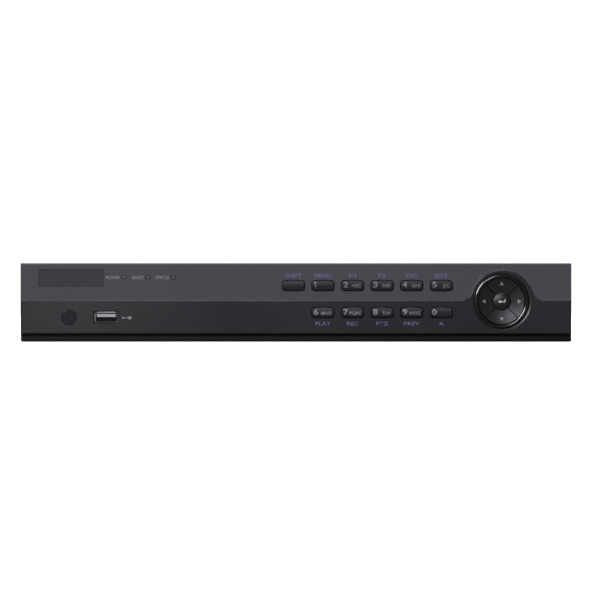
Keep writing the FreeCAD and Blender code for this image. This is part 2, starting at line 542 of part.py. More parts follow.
def chassis_base():
    w, y0, y1 = BASE_HALF_W, BEZEL_REAR, PANEL_Y
    tray = join(box(-w, w, y0, y1, CASE_Z0, FLOOR_Z),
                box(-w, w, y0, y0 + SHEET, CASE_Z0, PANEL_TOP),
                box(-w, w, PANEL_IN, y1, CASE_Z0, PANEL_TOP),
                box(-w, SHEET - w, y0, y1, CASE_Z0, FLANGE_TOP),
                box(w - SHEET, w, y0, y1, CASE_Z0, FLANGE_TOP))
    tray = softened(tray, 0.9, lambda e: e.BoundBox.ZMax < CASE_Z0 + 0.01)
    tray = softened(tray, 1.6, lambda e: runs(e, ALONG_Y) and e.BoundBox.ZMin > PANEL_TOP - 0.01
                    and abs(e.BoundBox.XMin) > w - 0.01)
    standoffs = [post(3.0, x, y, FLOOR_Z, MAIN_Z0) for x, y in MAIN_SCREWS]
    mounts = [post(6.0, x, y, FLOOR_Z, DRIVE_Z0) for x, y in DRIVE_SCREWS]
    tools = [post(1.45, x, y, FLOOR_Z + 0.4, MAIN_Z0 + 1) for x, y in MAIN_SCREWS]
    tools += [post(4.0, x, y, CASE_Z0 - 1, DRIVE_Z0 - 2) for x, y in DRIVE_SCREWS]
    tools += [post(1.8, x, y, CASE_Z0, DRIVE_Z0 + 1) for x, y in DRIVE_SCREWS]
    tools += [bar(1.25, y, z, -w - 1, w + 1) for y, z in SIDE_SCREWS]
    tools += [rod(1.3, x, z, y0 - 1, y0 + SHEET + 1) for x, z in BEZEL_BOSSES]
    tools.append(rounded_block((RIBBON_X0 + RIBBON_X1) / 2, 14.0, 32.0, 16.0, y0 - 1, y0 + SHEET + 1, 2.0))
    return cut(join(tray, *standoffs, *mounts), *tools, *rear_openings(), *floor_openings())


def top_cover():
    w, y0, y1 = COVER_HALF_W, BEZEL_REAR + 0.2, PANEL_Y + SLIT + SHEET
    outer, inner = COVER_BEND, COVER_BEND - SHEET
    k, m = outer * (1 - math.sqrt(0.5)), inner * (1 - math.sqrt(0.5))
    wi, top, ti = w - SHEET, COVER_TOP, COVER_TOP - SHEET
    edges = outline("xz", (-w, COVER_FOOT), (-w, top - outer), ((k - w, top - k), (outer - w, top)),
                    (w - outer, top), ((w - k, top - k), (w, top - outer)), (w, COVER_FOOT),
                    (wi, COVER_FOOT), (wi, ti - inner), ((wi - m, ti - m), (wi - inner, ti)),
                    (inner - wi, ti), ((m - wi, ti - m), (-wi, ti - inner)), (-wi, COVER_FOOT),
                    (-w, COVER_FOOT))
    shell = join(prism(edges, y0, y1), box(-wi - 0.2, wi + 0.2, y1 - SHEET, y1, LIP_Z, ti))
    shell = softened(shell, 0.9, lambda e: in_plane(e, y1) and e.BoundBox.ZMin > top - 0.01)
    tools = [bar(1.4, y, z, -w - 1, w + 1) for y, z in SIDE_SCREWS]
    tools += [rod(1.4, x, z, PANEL_Y, y1 + 1) for x, z in LIP_SCREWS]
    for y in range(-55, 61, 5):
        slot = softened(box(-w - 1, w + 1, y - 1.1, y + 1.1, 21.0, 35.0), 1.0, lambda e: runs(e, ALONG_X))
        tools.append(slot)
    return cut(shell, *tools)


def cover_screws():
    w, back = COVER_HALF_W, PANEL_Y + SLIT + SHEET
    sides = [screw(2.7, 0.9, 1.2, 5.0, V(side * w, y, z), ALONG_X * -side)
             for side in (-1, 1) for y, z in SIDE_SCREWS]
    return sides + [screw(2.2, 1.3, 1.2, 5.0, V(x, back, z), -ALONG_Y) for x, z in LIP_SCREWS]


def rubber_foot(x, y):
    foot = softened(post(FOOT_R, x, y, 0, CASE_Z0), 0.6, lambda e: e.BoundBox.ZMax < 0.01)
    return join(foot, post(FOOT_STUD_R, x, y, CASE_Z0, FLOOR_Z), post(2.8, x, y, FLOOR_Z, FLOOR_Z + 1.1))


# ---- boards, drive and leads ---------------------------------------------------------------------

def main_board():
    board = box(MAIN_X0, MAIN_X1, MAIN_Y0, MAIN_Y1, MAIN_Z0, MAIN_Z1)
    ribbon = box(RIBBON_X0 - 2.5, RIBBON_X1 + 2.5, 13.5, HEADER_BACK, MAIN_Z1, 14.0)
    data = box(DATA_X - 6.5, DATA_X + 6.5, 14.0, HEADER_BACK, MAIN_Z1, 14.0)
    power = box(POWER_X - 5.0, POWER_X + 5.0, 14.0, HEADER_BACK, MAIN_Z1, 14.0)
    holes = [post(1.7, x, y, MAIN_Z0 - 1, MAIN_Z1 + 1) for x, y in MAIN_SCREWS]
    coils = [rounded_slab(x, y, 8.0, 8.0, MAIN_Z1, 12.0, 1.5) for x, y in ((-20, 80), (-20, 66), (-34, 60))]
    return cut(join(board, ribbon, data, power, *coils), *holes)


def heatsink():
    """A base on the main chip with a row of fins."""
    base = slab(SOC_X, SOC_Y, SINK_W, SINK_W, SOC_TOP, SOC_TOP + 3.0)
    pitch = (SINK_W - 1.2) / (SINK_FINS - 1)
    fins = [box(SOC_X - SINK_W / 2 + pitch * i, SOC_X - SINK_W / 2 + pitch * i + 1.2,
                SOC_Y - SINK_W / 2, SOC_Y + SINK_W / 2, SOC_TOP + 2, SINK_TOP) for i in range(SINK_FINS)]
    return join(base, *fins)


def board_chips():
    main = [slab(SOC_X, SOC_Y, SOC_W, SOC_W, MAIN_Z1, SOC_TOP)]
    memory = [slab(x, y, 9.0, 13.0, MAIN_Z1, MAIN_Z1 + 1.1) for x, y in MEMORY]
    return main + memory + [slab(x, y, 14.0, 14.0, MAIN_Z1, MAIN_Z1 + 1.4) for x, y in DECODERS]


def board_capacitor(x, y):
    can = post(4.0, x, y, MAIN_Z1, MAIN_Z1 + 11.5)
    can = softened(can, 0.6, lambda e: e.BoundBox.ZMin > MAIN_Z1 + 11.4)
    neck = cut(post(4.5, x, y, MAIN_Z1 + 1.6, MAIN_Z1 + 2.1), post(3.7, x, y, MAIN_Z1, MAIN_Z1 + 3))
    return cut(can, neck)


def drive_body():
    """The cast tub of the disk drive, open at the top, with a recess below for its board."""
    tub = box(DRIVE_X0, DRIVE_X1, DRIVE_Y0, DRIVE_Y1, DRIVE_Z0, DRIVE_LID_Z)
    tub = softened(tub, 3.0, lambda e: runs(e, ALONG_Z))
    room = rounded_slab(-77.0, DRIVE_MID_Y, 138.0, 94.0, 16.0, DRIVE_LID_Z + 1, 6.0)
    recess = box(-103.0, DRIVE_X1 + 1, DRIVE_Y0 + 8, DRIVE_Y1 - 8, DRIVE_Z0 - 1, 10.5)
    socket = box(-10.0, DRIVE_X1 + 1, -73.0, -14.0, DRIVE_Z0 - 1, 14.6)
    holes = [post(1.6, x, y, DRIVE_Z0 - 1, 14.0) for x, y in DRIVE_SCREWS]
    return cut(tub, room, recess, socket, *holes)


def drive_cover():
    lid = slab((DRIVE_X0 + DRIVE_X1) / 2, DRIVE_MID_Y, 145.0, 99.6, DRIVE_LID_Z, DRIVE_TOP)
    lid = softened(lid, 5.0, lambda e: runs(e, ALONG_Z))
    lid = softened(lid, 0.6, lambda e: e.BoundBox.ZMin > DRIVE_TOP - 0.01)
    return cut(lid, Part.makeCylinder(36.0, 1.0, V(-96.0, DRIVE_MID_Y, DRIVE_TOP - 0.4), ALONG_Z))


def drive_board():
    """The drive's board, with the block that holds the data and power contacts."""
    board = box(-101.0, PLUG_X - 2.0, DRIVE_Y0 + 10, DRIVE_Y1 - 10, 8.9, 10.5)
    sockets = box(-9.9, PLUG_X - 2.0, -72.0, -15.0, 8.9, 14.2)
    data = box(PLUG_X - 2.0, PLUG_X, DATA_Y - 5.0, DATA_Y + 5.0, 10.8, 12.0)
    power = box(PLUG_X - 2.0, PLUG_X, POWER_Y - 10.0, POWER_Y + 10.0, 10.8, 12.0)
    return join(board, sockets, data, power)


def drive_data_cable():
    z, front = LEAD_Z, 3.0
    cable = lead(ring_wire(DATA_LEAD_R, V(front, DATA_Y, z), ALONG_X),
                 [V(front, DATA_Y, z), V(DATA_X, DATA_Y, z), V(DATA_X, 4.0, z)], 9.0)
    return join(cable, box(PLUG_X, front, DATA_Y - 7, DATA_Y + 7, 8.7, 13.7),
                box(DATA_X - 6.5, DATA_X + 6.5, 4.0, 14.0, 8.7, 13.7))


def drive_power_cable():
    z, front = LEAD_Z, 3.0
    wires = []
    for s in (-0.85, 0.85):
        for up in (-0.85, 0.85):
            points = [V(front, POWER_Y + s, z + up), V(POWER_X - s, POWER_Y + s, z + up),
                      V(POWER_X - s, 4.0, z + up)]
            wires.append(lead(ring_wire(WIRE_R, points[0], ALONG_X), points, 5.0 - s))
    return join(box(PLUG_X, front, POWER_Y - 12, POWER_Y + 12, 8.7, 13.7), *wires,
                box(POWER_X - 5.0, POWER_X + 5.0, 4.0, 14.0, 8.7, 13.7))


def front_ribbon_cable():
    """Flat ribbon from the front board down to the floor and back up to the main board."""
    start, low, high = BOARD_BACK + 3.6, FLOOR_Z + 0.1 + RIBBON_T / 2, 11.3
    x0, x1, half = RIBBON_X0, RIBBON_X1, RIBBON_T / 2
    points = [V(x0, start, 15.0), V(x0, -97.0, 15.0), V(x0, -88.0, low), V(x0, -4.0, low), V(x0, 4.0, high),
              V(x0, 13.5, high)]
    corners = [V(x0, start, 15.0 - half), V(x1, start, 15.0 - half), V(x1, start, 15.0 + half),
               V(x0, start, 15.0 + half)]
    section = Part.makePolygon(corners + corners[:1])
    return lead(section, points, 3.0)


# ---- rear sockets and fan ------------------------------------------------------------------------

def bnc_barrel(x, z):
    """A bayonet socket: base, shoulder, neck with two lugs, and the plain front that a plug slides on."""
    front = REAR - BNC_FRONT
    body = join(rod(BNC_BASE_R, x, z, 104.0, PANEL_Y + 0.4), rod(BNC_SHOULDER_R, x, z, 104.0, 113.6),
                rod(BNC_LUG_R, x, z, 104.0, front), rod(BNC_R, x, z, front, REAR),
                bar(1.0, 115.0, z, x - BNC_LUG_TIP, x + BNC_LUG_TIP))
    return cut(body, rod(BNC_BORE, x, z, 111.5, REAR + 1))


def bnc_insert(x, z):
    disc = join(rod(BNC_BORE - 0.03, x, z, 111.5, 112.7), rod(2.4, x, z, 112.7, 119.2))
    return cut(disc, rod(0.75, x, z, 114.0, 120.0))


def jack_housings():
    """Moulded blocks behind the rear panel that hold the round sockets."""
    base, back, face = MAIN_Z1, 92.0, 104.0
    eight = box(84.4, 145.2, back, face, base, 37.6)
    single = box(BNC_ALONE[0] - 7.0, BNC_ALONE[0] + 7.0, back, face, base, 22.2)
    audio = box(AUDIO[0][0] - 5.2, AUDIO[0][0] + 5.2, back, PANEL_IN - 0.2, base, 35.4)
    cores = [rod(3.35, x, z, PANEL_IN - 0.2, 117.6) for x, z in AUDIO]
    holes = [rod(1.6, x, z, 109.0, 118.0) for x, z in AUDIO]
    return [eight, single, cut(join(audio, *cores), *holes)]


def audio_sleeve(x, z):
    collar = join(rod(4.9, x, z, PANEL_IN - 0.2, PANEL_Y + 0.8), rod(AUDIO_R, x, z, PANEL_IN, 118.5))
    return cut(collar, rod(3.4, x, z, PANEL_IN - 1, 119))


def video_outline(shrink, y0, y1):
    """The keyed outline of the monitor socket, wider at the top, smaller by shrink all round."""
    top, foot, half = VIDEO_TOP_W / 2 - shrink, VIDEO_FOOT_W / 2 - shrink, VIDEO_H / 2 - shrink
    x, z = VIDEO_X, VIDEO_Z
    edges = outline("xz", (x - top, z + half), (x + top, z + half), (x + foot, z - half),
                    (x - foot, z - half), (x - top, z + half))
    return softened(prism(edges, y0, y1), 1.9 - shrink, lambda e: runs(e, ALONG_Y))


def jackscrew(x, z):
    """A hexagon standoff with a threaded hole in its end."""
    corner = 2.4 / math.cos(math.pi / 6)
    spots = [(x + corner * math.cos(math.radians(60 * i)), z + corner * math.sin(math.radians(60 * i)))
             for i in range(7)]
    head = prism(outline("xz", *spots[:6], spots[0]), PANEL_Y + 0.8, PANEL_Y + 5.0)
    return cut(join(head, rod(1.4, x, z, 106.5, PANEL_Y + 0.8)), rod(1.42, x, z, PANEL_Y + 1.1, PANEL_Y + 6))


def video_port_shell():
    """The plated flange with its keyed shroud, and the two hexagon standoffs."""
    flange = rounded_block(VIDEO_X, VIDEO_Z, 30.8, 12.4, PANEL_Y, PANEL_Y + 0.8, 1.0)
    shroud = join(flange, video_outline(0, PANEL_Y, 115.0))
    holes = [rod(1.9, VIDEO_X + s * JACKSCREW_AT, VIDEO_Z, PANEL_Y - 1, PANEL_Y + 2) for s in (-1, 1)]
    shroud = cut(shroud, video_outline(0.4, PANEL_Y - 1, 116.0), *holes)
    return [shroud] + [jackscrew(VIDEO_X + s * JACKSCREW_AT, VIDEO_Z) for s in (-1, 1)]


def video_port_insert():
    """The moulded insert with three rows of five holes, on its body behind the panel."""
    insert = video_outline(0.45, PANEL_IN - 0.5, 114.4)
    body = box(VIDEO_X - 9.5, VIDEO_X + 9.5, 94.0, PANEL_IN - 0.5, MAIN_Z1, 21.0)
    holes = [rod(0.55, VIDEO_X + 2.29 * (i - 2) + 0.57 * (row - 1), VIDEO_Z + 1.98 * (row - 1), 110.0, 115.0)
             for row in range(3) for i in range(5)]
    return cut(join(insert, body), *holes)


def digital_port():
    """A flat shell with a tongue inside."""
    x, z, w, h = DIGITAL_X, DIGITAL_Z, DIGITAL_W / 2, DIGITAL_H / 2

    def keyed(shrink, y0, y1):
        a, b = w - shrink, h - shrink
        edges = outline("xz", (x - a, z + b), (x + a, z + b), (x + a, z - b + 1.9), (x + a - 1.6, z - b),
                        (x - a + 1.6, z - b), (x - a, z - b + 1.9), (x - a, z + b))
        return prism(edges, y0, y1)

    shell = cut(keyed(0, 98.0, PANEL_Y + 0.8), keyed(0.35, 99.0, 112.0))
    return [shell, join(box(x - 5.5, x + 5.5, 99.0, 109.3, z - 0.1, z + 1.2), keyed(0.36, 99.0, 101.0))]


def network_jack():
    """An eight-contact network socket."""
    x, base, face = NETWORK_X, MAIN_Z1, PANEL_Y + 1.5
    shell = rounded_block(x, base + NETWORK_H / 2, NETWORK_W, NETWORK_H, 90.0, face, 0.5)
    room = box(x - 5.95, x + 5.95, face - 13.0, face + 1, base + 4.6, base + 11.6)
    latch = box(x - 3.0, x + 3.0, face - 13.0, face + 1, base + 2.6, base + 5.0)
    nib = box(x - 1.6, x + 1.6, face - 13.0, face + 1, base + 1.4, base + 3.0)
    contacts = [slab(x + 1.016 * (i - 3.5), face - 8.0, 0.4, 10.0, base + 10.6, base + 11.8)
                for i in range(8)]
    return join(cut(shell, room, latch, nib), *contacts)


def control_terminal():
    """A four-way terminal block with a wire entry and a screw well for each way."""
    base, top, face = MAIN_Z1, CONTROL_TOP, 113.0
    body = slab(CONTROL_X, (98.0 + face) / 2, CONTROL_W, face - 98.0, base, top)
    body = softened(body, 1.6, lambda e: in_plane(e, face) and e.BoundBox.ZMin > top - 0.1)
    tools = []
    for i in range(4):
        x = CONTROL_X + 3.81 * (i - 1.5)
        tools.append(box(x - 1.3, x + 1.3, face - 7.0, face + 1, base + 1.4, base + 4.4))
        tools.append(rod(1.35, x, base + 7.2, face - 2.0, face + 1))
        tools.append(box(x - 1.0, x + 1.0, face - 2.6, face, base + 6.9, base + 7.5))
    return cut(body, *tools)


def power_jack():
    x, z = POWER_JACK_X, POWER_JACK_Z
    body = join(box(x - 4.5, x + 4.5, 96.0, PANEL_IN - 0.1, MAIN_Z1, 19.8),
                rod(4.4, x, z, 100.0, PANEL_Y + 1.0))
    return join(cut(body, rod(3.15, x, z, 101.0, PANEL_Y + 2)), rod(1.0, x, z, 100.5, PANEL_Y - 0.6))


def ground_screw():
    """A cross-recess screw with a washer against the rear panel."""
    x, z = GROUND_X, GROUND_Z
    washer = cut(rod(3.9, x, z, PANEL_Y, PANEL_Y + 0.6), rod(2.05, x, z, PANEL_Y - 1, PANEL_Y + 1))
    nut = cut(rod(3.4, x, z, PANEL_IN - 2.2, PANEL_IN), rod(1.95, x, z, PANEL_IN - 3, PANEL_IN + 1))
    return [screw(3.2, 2.1, 1.9, 6.0, V(x, PANEL_Y + 0.6, z), -ALONG_Y), washer, nut]


def switch_frame():
    x, z = SWITCH_X, SWITCH_Z
    flange = rounded_block(x, z, 15.0, 21.0, PANEL_Y, PANEL_Y + 1.5, 1.2)
    flange = softened(flange, 0.5, lambda e: in_plane(e, PANEL_Y + 1.5))
    body = join(flange, block(x, z, 12.6, 19.0, 94.0, PANEL_Y))
    tabs = [block(x, z + dz, 0.8, 4.8, 86.0, 94.0) for dz in (-5.0, 5.0)]
    room = block(x, z, 11.0, 2 * (ROCKER_R + 0.3), 102.0, PANEL_Y + 2)
    return cut(join(body, *tabs), room, bar(1.25, PIVOT_Y, z, x - 7, x + 7))


def power_rocker():
    """The rocker lies tilted with its lower half in."""
    wide = 7.6
    edge = math.sqrt(ROCKER_R ** 2 - wide ** 2)
    dip = edge - wide * math.tan(math.radians(ROCKER_TILT))
    x, y, z, w = SWITCH_X, PIVOT_Y, SWITCH_Z, ROCKER_W / 2
    side = math.sqrt(ROCKER_R ** 2 - 1.5 ** 2)
    edges = outline("yz", (dip, 0), (edge, wide), ((0, ROCKER_R), (-1.5, side)), (-2.4, 2.2), (-4.0, 1.2),
                    ((-4.9, 0), (-4.0, -1.2)), (-2.4, -2.2), (-1.5, -side), ((0, -ROCKER_R), (edge, -wide)),
                    (dip, 0))
    shape = join(prism(edges, -w, w, ALONG_X), bar(1.2, 0, 0, -6.2, 6.2))
    shape.rotate(V(0, 0, 0), ALONG_X, -ROCKER_TILT)
    shape.translate(V(x, y, z))
    return shape


def fan_frame():
    """A square frame with a round bore, four struts, the motor cup and the fixed shaft."""
    x, z, y0, y1 = FAN_X, FAN_Z, FAN_Y0, FAN_Y1
    frame = rounded_block(x, z, FAN_W, FAN_W, y0, y1, 2.5)
    frame = cut(frame, rod(FAN_BORE, x, z, y0 - 1, y1 + 1))
    span = 2 * FAN_BORE + 1
    struts = [block(x, z, w, h, y0, y0 + 1.6) for w, h in ((span, 1.8), (1.8, span))]
    frame = join(frame, *struts, rod(FAN_HUB + 0.2, x, z, y0, y0 + 1.6), rod(1.0, x, z, y0, y0 + 7.6))
    return cut(frame, *[rod(1.4, sx, sz, y0 - 1, y1 + 1) for sx, sz in FAN_SCREWS])


def fan_rotor():
    x, z, y0, y1 = FAN_X, FAN_Z, FAN_Y0 + 2.1, FAN_Y1 - 0.8
    hub = softened(rod(FAN_HUB, x, z, y0, y1), 0.8, lambda e: in_plane(e, y1))
    blades = []
    for i in range(FAN_BLADES):
        blade = box(-3.6, 3.6, -0.45, 0.45, FAN_HUB - 3.0, FAN_BORE)
        blade.rotate(V(0, 0, 0), ALONG_Z, 38)
        blade.translate(V(0, (y0 + y1) / 2, 0))
        blade.rotate(V(0, 0, 0), ALONG_Y, 360.0 / FAN_BLADES * i)
        blade.translate(V(x, 0, z))
        blades.append(blade)
    envelope = rod(FAN_BORE - 0.6, x, z, y0, y1)
    return cut(join(hub, *[b.common(envelope) for b in blades]), rod(1.05, x, z, y0 - 1, y0 + 5.9))


# ---- write every sub-part ------------------------------------------------------------------------

os.makedirs("parts", exist_ok=True)

save("front_bezel", front_bezel())
save("upper_fascia", upper_fascia())
save("lower_fascia", lower_fascia())
save("name_plate", name_plate())
save("led_light_pipes", *[light_pipe(x) for x in LIGHTS_X])
save("ir_window", ir_window())
save("usb_shell", usb_shell())
save("usb_tongue", usb_tongue())
save("nav_ring", nav_ring())
for name, x, z, face, crowns in key_places():
    save(name, key(x, z, face, crowns))
for name, shape in zip(("nav_up", "nav_right", "nav_down", "nav_left"), arrow_keys()):
    save(name, shape)
save("nav_enter", enter_key())
save("keypad_membrane", keypad_membrane())
save("front_board", *front_board())
save("front_panel_screws", *front_panel_screws())

save("chassis_base", chassis_base())
save("top_cover", top_cover())
save("cover_screws", *cover_screws())
save("rubber_feet", *[rubber_foot(x, y) for x, y in FEET])

save("main_board", main_board())
save("board_screws", *[screw(2.9, 1.6, 1.4, 3.8, V(x, y, MAIN_Z1), -ALONG_Z) for x, y in MAIN_SCREWS])
save("heatsink", heatsink())
save("board_chips", *board_chips())
save("board_capacitors", *[board_capacitor(x, y) for x, y in CAPACITORS])
save("drive_body", drive_body())
save("drive_cover", drive_cover())
save("drive_board", drive_board())
save("drive_screws", *[screw(3.0, 1.8, 1.55, 8.0, V(x, y, DRIVE_Z0 - 2), ALONG_Z) for x, y in DRIVE_SCREWS])
save("drive_data_cable", drive_data_cable())
save("drive_power_cable", drive_power_cable())
save("front_ribbon_cable", front_ribbon_cable())

save("bnc_barrels", *[bnc_barrel(x, z) for x, z in BNC_BLOCK + [BNC_ALONE]])
save("bnc_inserts", *[bnc_insert(x, z) for x, z in BNC_BLOCK + [BNC_ALONE]])
save("jack_housings", *jack_housings())
save("audio_sleeves", *[audio_sleeve(x, z) for x, z in AUDIO])
save("video_port_shell", *video_port_shell())
save("video_port_insert", video_port_insert())
save("digital_port", *digital_port())
save("network_jack", network_jack())
save("control_terminal", control_terminal())
save("power_jack", power_jack())
save("ground_screw", *ground_screw())
save("switch_frame", switch_frame())
save("power_rocker", power_rocker())
save("fan_frame", fan_frame())
save("fan_rotor", fan_rotor())
save("fan_screws", *[screw(2.2, 1.3, 1.35, 8.0, V(x, PANEL_Y, z), -ALONG_Y) for x, z in FAN_SCREWS])
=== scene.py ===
import json
import math

import bmesh
import bpy
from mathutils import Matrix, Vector
from mathutils.bvhtree import BVHTree


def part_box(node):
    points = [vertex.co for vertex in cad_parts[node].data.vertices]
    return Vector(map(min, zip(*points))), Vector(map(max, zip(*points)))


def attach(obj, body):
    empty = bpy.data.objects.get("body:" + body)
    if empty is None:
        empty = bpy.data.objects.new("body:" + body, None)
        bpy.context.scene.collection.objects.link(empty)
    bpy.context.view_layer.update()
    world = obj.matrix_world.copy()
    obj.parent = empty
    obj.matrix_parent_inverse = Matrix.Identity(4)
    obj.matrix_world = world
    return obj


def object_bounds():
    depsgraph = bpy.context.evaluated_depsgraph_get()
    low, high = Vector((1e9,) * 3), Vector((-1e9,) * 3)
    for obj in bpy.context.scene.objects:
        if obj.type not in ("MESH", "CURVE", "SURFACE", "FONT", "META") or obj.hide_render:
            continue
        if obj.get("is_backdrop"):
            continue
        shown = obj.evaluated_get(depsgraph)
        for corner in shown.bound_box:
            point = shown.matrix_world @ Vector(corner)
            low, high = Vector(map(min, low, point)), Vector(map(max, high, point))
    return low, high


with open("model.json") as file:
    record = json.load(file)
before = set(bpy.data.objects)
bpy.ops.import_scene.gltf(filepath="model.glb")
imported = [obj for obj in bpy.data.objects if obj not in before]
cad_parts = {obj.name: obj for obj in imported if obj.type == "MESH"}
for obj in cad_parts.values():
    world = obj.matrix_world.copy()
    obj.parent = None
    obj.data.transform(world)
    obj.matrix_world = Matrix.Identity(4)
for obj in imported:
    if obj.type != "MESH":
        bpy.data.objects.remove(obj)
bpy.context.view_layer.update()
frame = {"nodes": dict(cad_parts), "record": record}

NODES = frame["nodes"]
MM = 0.001
ROOT = "recorder"


# ---- materials -----------------------------------------------------------------------------------

class Look:
    """One procedural material. Short calls add its nodes. Lengths are in metres, in the object's frame."""

    def __init__(self, name, **shader):
        self.mat = bpy.data.materials.new(name)
        self.mat.use_nodes = True
        self.tree = self.mat.node_tree
        self.bsdf = self.tree.nodes["Principled BSDF"]
        self.place = self.tree.nodes.new("ShaderNodeTexCoord").outputs["Object"]
        self.normal = None
        for key, value in shader.items():
            self.set(key, value)

    def set(self, key, value):
        names = {"color": "Base Color", "rough": "Roughness", "metal": "Metallic", "coat": "Coat Weight",
                 "coat_rough": "Coat Roughness", "spec": "Specular IOR Level", "ior": "IOR",
                 "through": "Transmission Weight", "sheen": "Sheen Weight", "glow": "Emission Strength",
                 "glow_color": "Emission Color"}
        socket = self.bsdf.inputs[names[key]]
        if isinstance(value, bpy.types.NodeSocket):
            self.tree.links.new(value, socket)
        elif isinstance(value, tuple):
            socket.default_value = (*value, 1.0)
        else:
            socket.default_value = value

    def node(self, kind, values=None, **props):
        n = self.tree.nodes.new(kind)
        for key, value in props.items():
            setattr(n, key, value)
        for key, value in (values or {}).items():
            if isinstance(value, bpy.types.NodeSocket):
                self.tree.links.new(value, n.inputs[key])
            else:
                n.inputs[key].default_value = value
        return n

    def stretched(self, by):
        return self.node("ShaderNodeMapping", {"Vector": self.place, "Scale": by}).outputs["Vector"]

    def noise(self, size, detail=2.0, by=None, rough=0.5):
        """Noise whose blobs are about size metres across. by stretches it along an axis."""
        where = self.stretched(by) if by else self.place
        n = self.node("ShaderNodeTexNoise", {"Vector": where, "Scale": 1.0 / size, "Detail": detail,
                                             "Roughness": rough})
        return n.outputs["Fac"]

    def cells(self, size, by=None, out="Distance"):
        """Cells about size metres across. out is Distance, from each cell's middle, or Color, one for each."""
        where = self.stretched(by) if by else self.place
        n = self.node("ShaderNodeTexVoronoi", {"Vector": where, "Scale": 1.0 / size})
        return n.outputs[out]

    def remap(self, fac, low, high, start=0.0, end=1.0):
        n = self.node("ShaderNodeMapRange", {"Value": fac, "From Min": start, "From Max": end,
                                             "To Min": low, "To Max": high})
        return n.outputs["Result"]

    def math(self, what, a, b=0.0):
        return self.node("ShaderNodeMath", {0: a, 1: b}, operation=what).outputs[0]

    def mix(self, fac, a, b):
        """Colour a where fac is 0, b where it is 1."""
        values = {0: fac, 6: a if isinstance(a, bpy.types.NodeSocket) else (*a, 1.0),
                  7: b if isinstance(b, bpy.types.NodeSocket) else (*b, 1.0)}
        return self.node("ShaderNodeMix", values, data_type="RGBA").outputs[2]

    def axis(self, name):
        return self.node("ShaderNodeSeparateXYZ", {"Vector": self.place}).outputs[name]

    def bump(self, height, depth):
        values = {"Height": height, "Distance": depth, "Strength": 1.0}
        if self.normal is not None:
            values["Normal"] = self.normal
        self.normal = self.node("ShaderNodeBump", values).outputs["Normal"]
        self.tree.links.new(self.normal, self.bsdf.inputs["Normal"])

    def dusty(self, base, strength=0.02, size=0.0012):
        """A few paler specks of dust over the base colour."""
        specks = self.remap(self.noise(size, 3.0, rough=0.7), 0.0, strength, 0.62, 0.80)
        return self.mix(specks, base, (0.6, 0.58, 0.55))


def moulded(name, color, rough=0.45, spread=0.06, grain=0.00035, depth=0.000004, **shader):
    """Moulded plastic: fine grain, slight blotches in colour and gloss, a little dust."""
    look = Look(name, **shader)
    blotch = look.noise(0.03, 3.0)
    dark, light = [c * 0.93 for c in color], [c * 1.07 for c in color]
    look.set("color", look.dusty(look.mix(blotch, dark, light)))
    fine = look.noise(grain, 2.0)
    look.set("rough", look.remap(look.noise(0.008, 4.0), rough - spread, rough + spread))
    look.bump(fine, depth)
    return look


def painted(name, color, rough=0.5, peel=0.0011, depth=0.000012):
    """Powder coat: orange peel with a finer tooth on top, and thin rubbed spots."""
    look = Look(name)
    rubbed = look.remap(look.noise(0.05, 5.0, rough=0.65), 0.0, 0.4, 0.55, 0.8)
    pale = [min(1.0, c * 1.25 + 0.003) for c in color]
    look.set("color", look.dusty(look.mix(rubbed, color, pale), 0.03))
    look.set("rough", look.remap(look.noise(0.02, 4.0), rough - 0.03, rough + 0.04))
    look.bump(look.noise(peel, 1.0), depth)
    look.bump(look.noise(peel / 5, 2.0), depth / 5)
    return look


def plated(name, color, rough=0.22, lines=None, depth=0.0000015, **shader):
    """Plated or bare metal: faint drawing lines along one axis, patches of duller plate."""
    look = Look(name, metal=1.0, **shader)
    dull = look.noise(0.006, 4.0, rough=0.6)
    shade = [c * 0.78 for c in color]
    look.set("color", look.mix(look.remap(dull, 0.0, 1.0, 0.35, 0.7), color, shade))
    look.set("rough", look.remap(dull, rough - 0.07, rough + 0.12, 0.3, 0.7))
    look.bump(look.noise(0.0006, 2.0, by=lines) if lines else look.noise(0.0004, 2.0), depth)
    return look


def galvanised(name, color):
    """Zinc-coated sheet: crystal spangle, faint rolling lines and light oxide."""
    look = Look(name, metal=1.0)
    spangle = look.cells(0.0045, out="Color")
    tone = look.node("ShaderNodeSeparateColor", {"Color": spangle}).outputs[0]
    dark, light = [c * 0.90 for c in color], [min(1.0, c * 1.04) for c in color]
    base = look.mix(tone, dark, light)
    haze = look.remap(look.noise(0.04, 4.0), 0.0, 0.22, 0.45, 0.75)
    look.set("color", look.mix(haze, base, (0.48, 0.49, 0.50)))
    look.set("rough", look.remap(tone, 0.36, 0.44))
    look.bump(look.noise(0.0009, 2.0, by=(1.0, 0.05, 1.0)), 0.000002)
    return look


def circuit(name, mask, trace):
    """Solder mask over copper: straight traces, round pads and a woven glass ground."""
    look = Look(name, coat=0.4, coat_rough=0.15)
    runs_x = look.cells(0.0016, by=(0.06, 1.0, 1.0))
    runs_y = look.cells(0.0019, by=(1.0, 0.06, 1.0))
    along = look.remap(look.noise(0.02, 1.0), 0.0, 1.0, 0.48, 0.52)
    lines = look.node("ShaderNodeMix", {0: along, 2: runs_x, 3: runs_y}, data_type="FLOAT").outputs[0]
    copper = look.remap(lines, 1.0, 0.0, 0.22, 0.30)
    pads = look.remap(look.cells(0.0042), 1.0, 0.0, 0.12, 0.16)
    base = look.mix(look.math("MULTIPLY", copper, 0.75), mask, trace)
    look.set("color", look.mix(pads, base, (0.62, 0.60, 0.52)))
    look.set("rough", look.remap(look.noise(0.004, 3.0), 0.28, 0.46))
    look.bump(copper, 0.00002)
    look.bump(look.cells(0.0005, by=(1.0, 1.0, 0.2)), 0.000003)
    return look


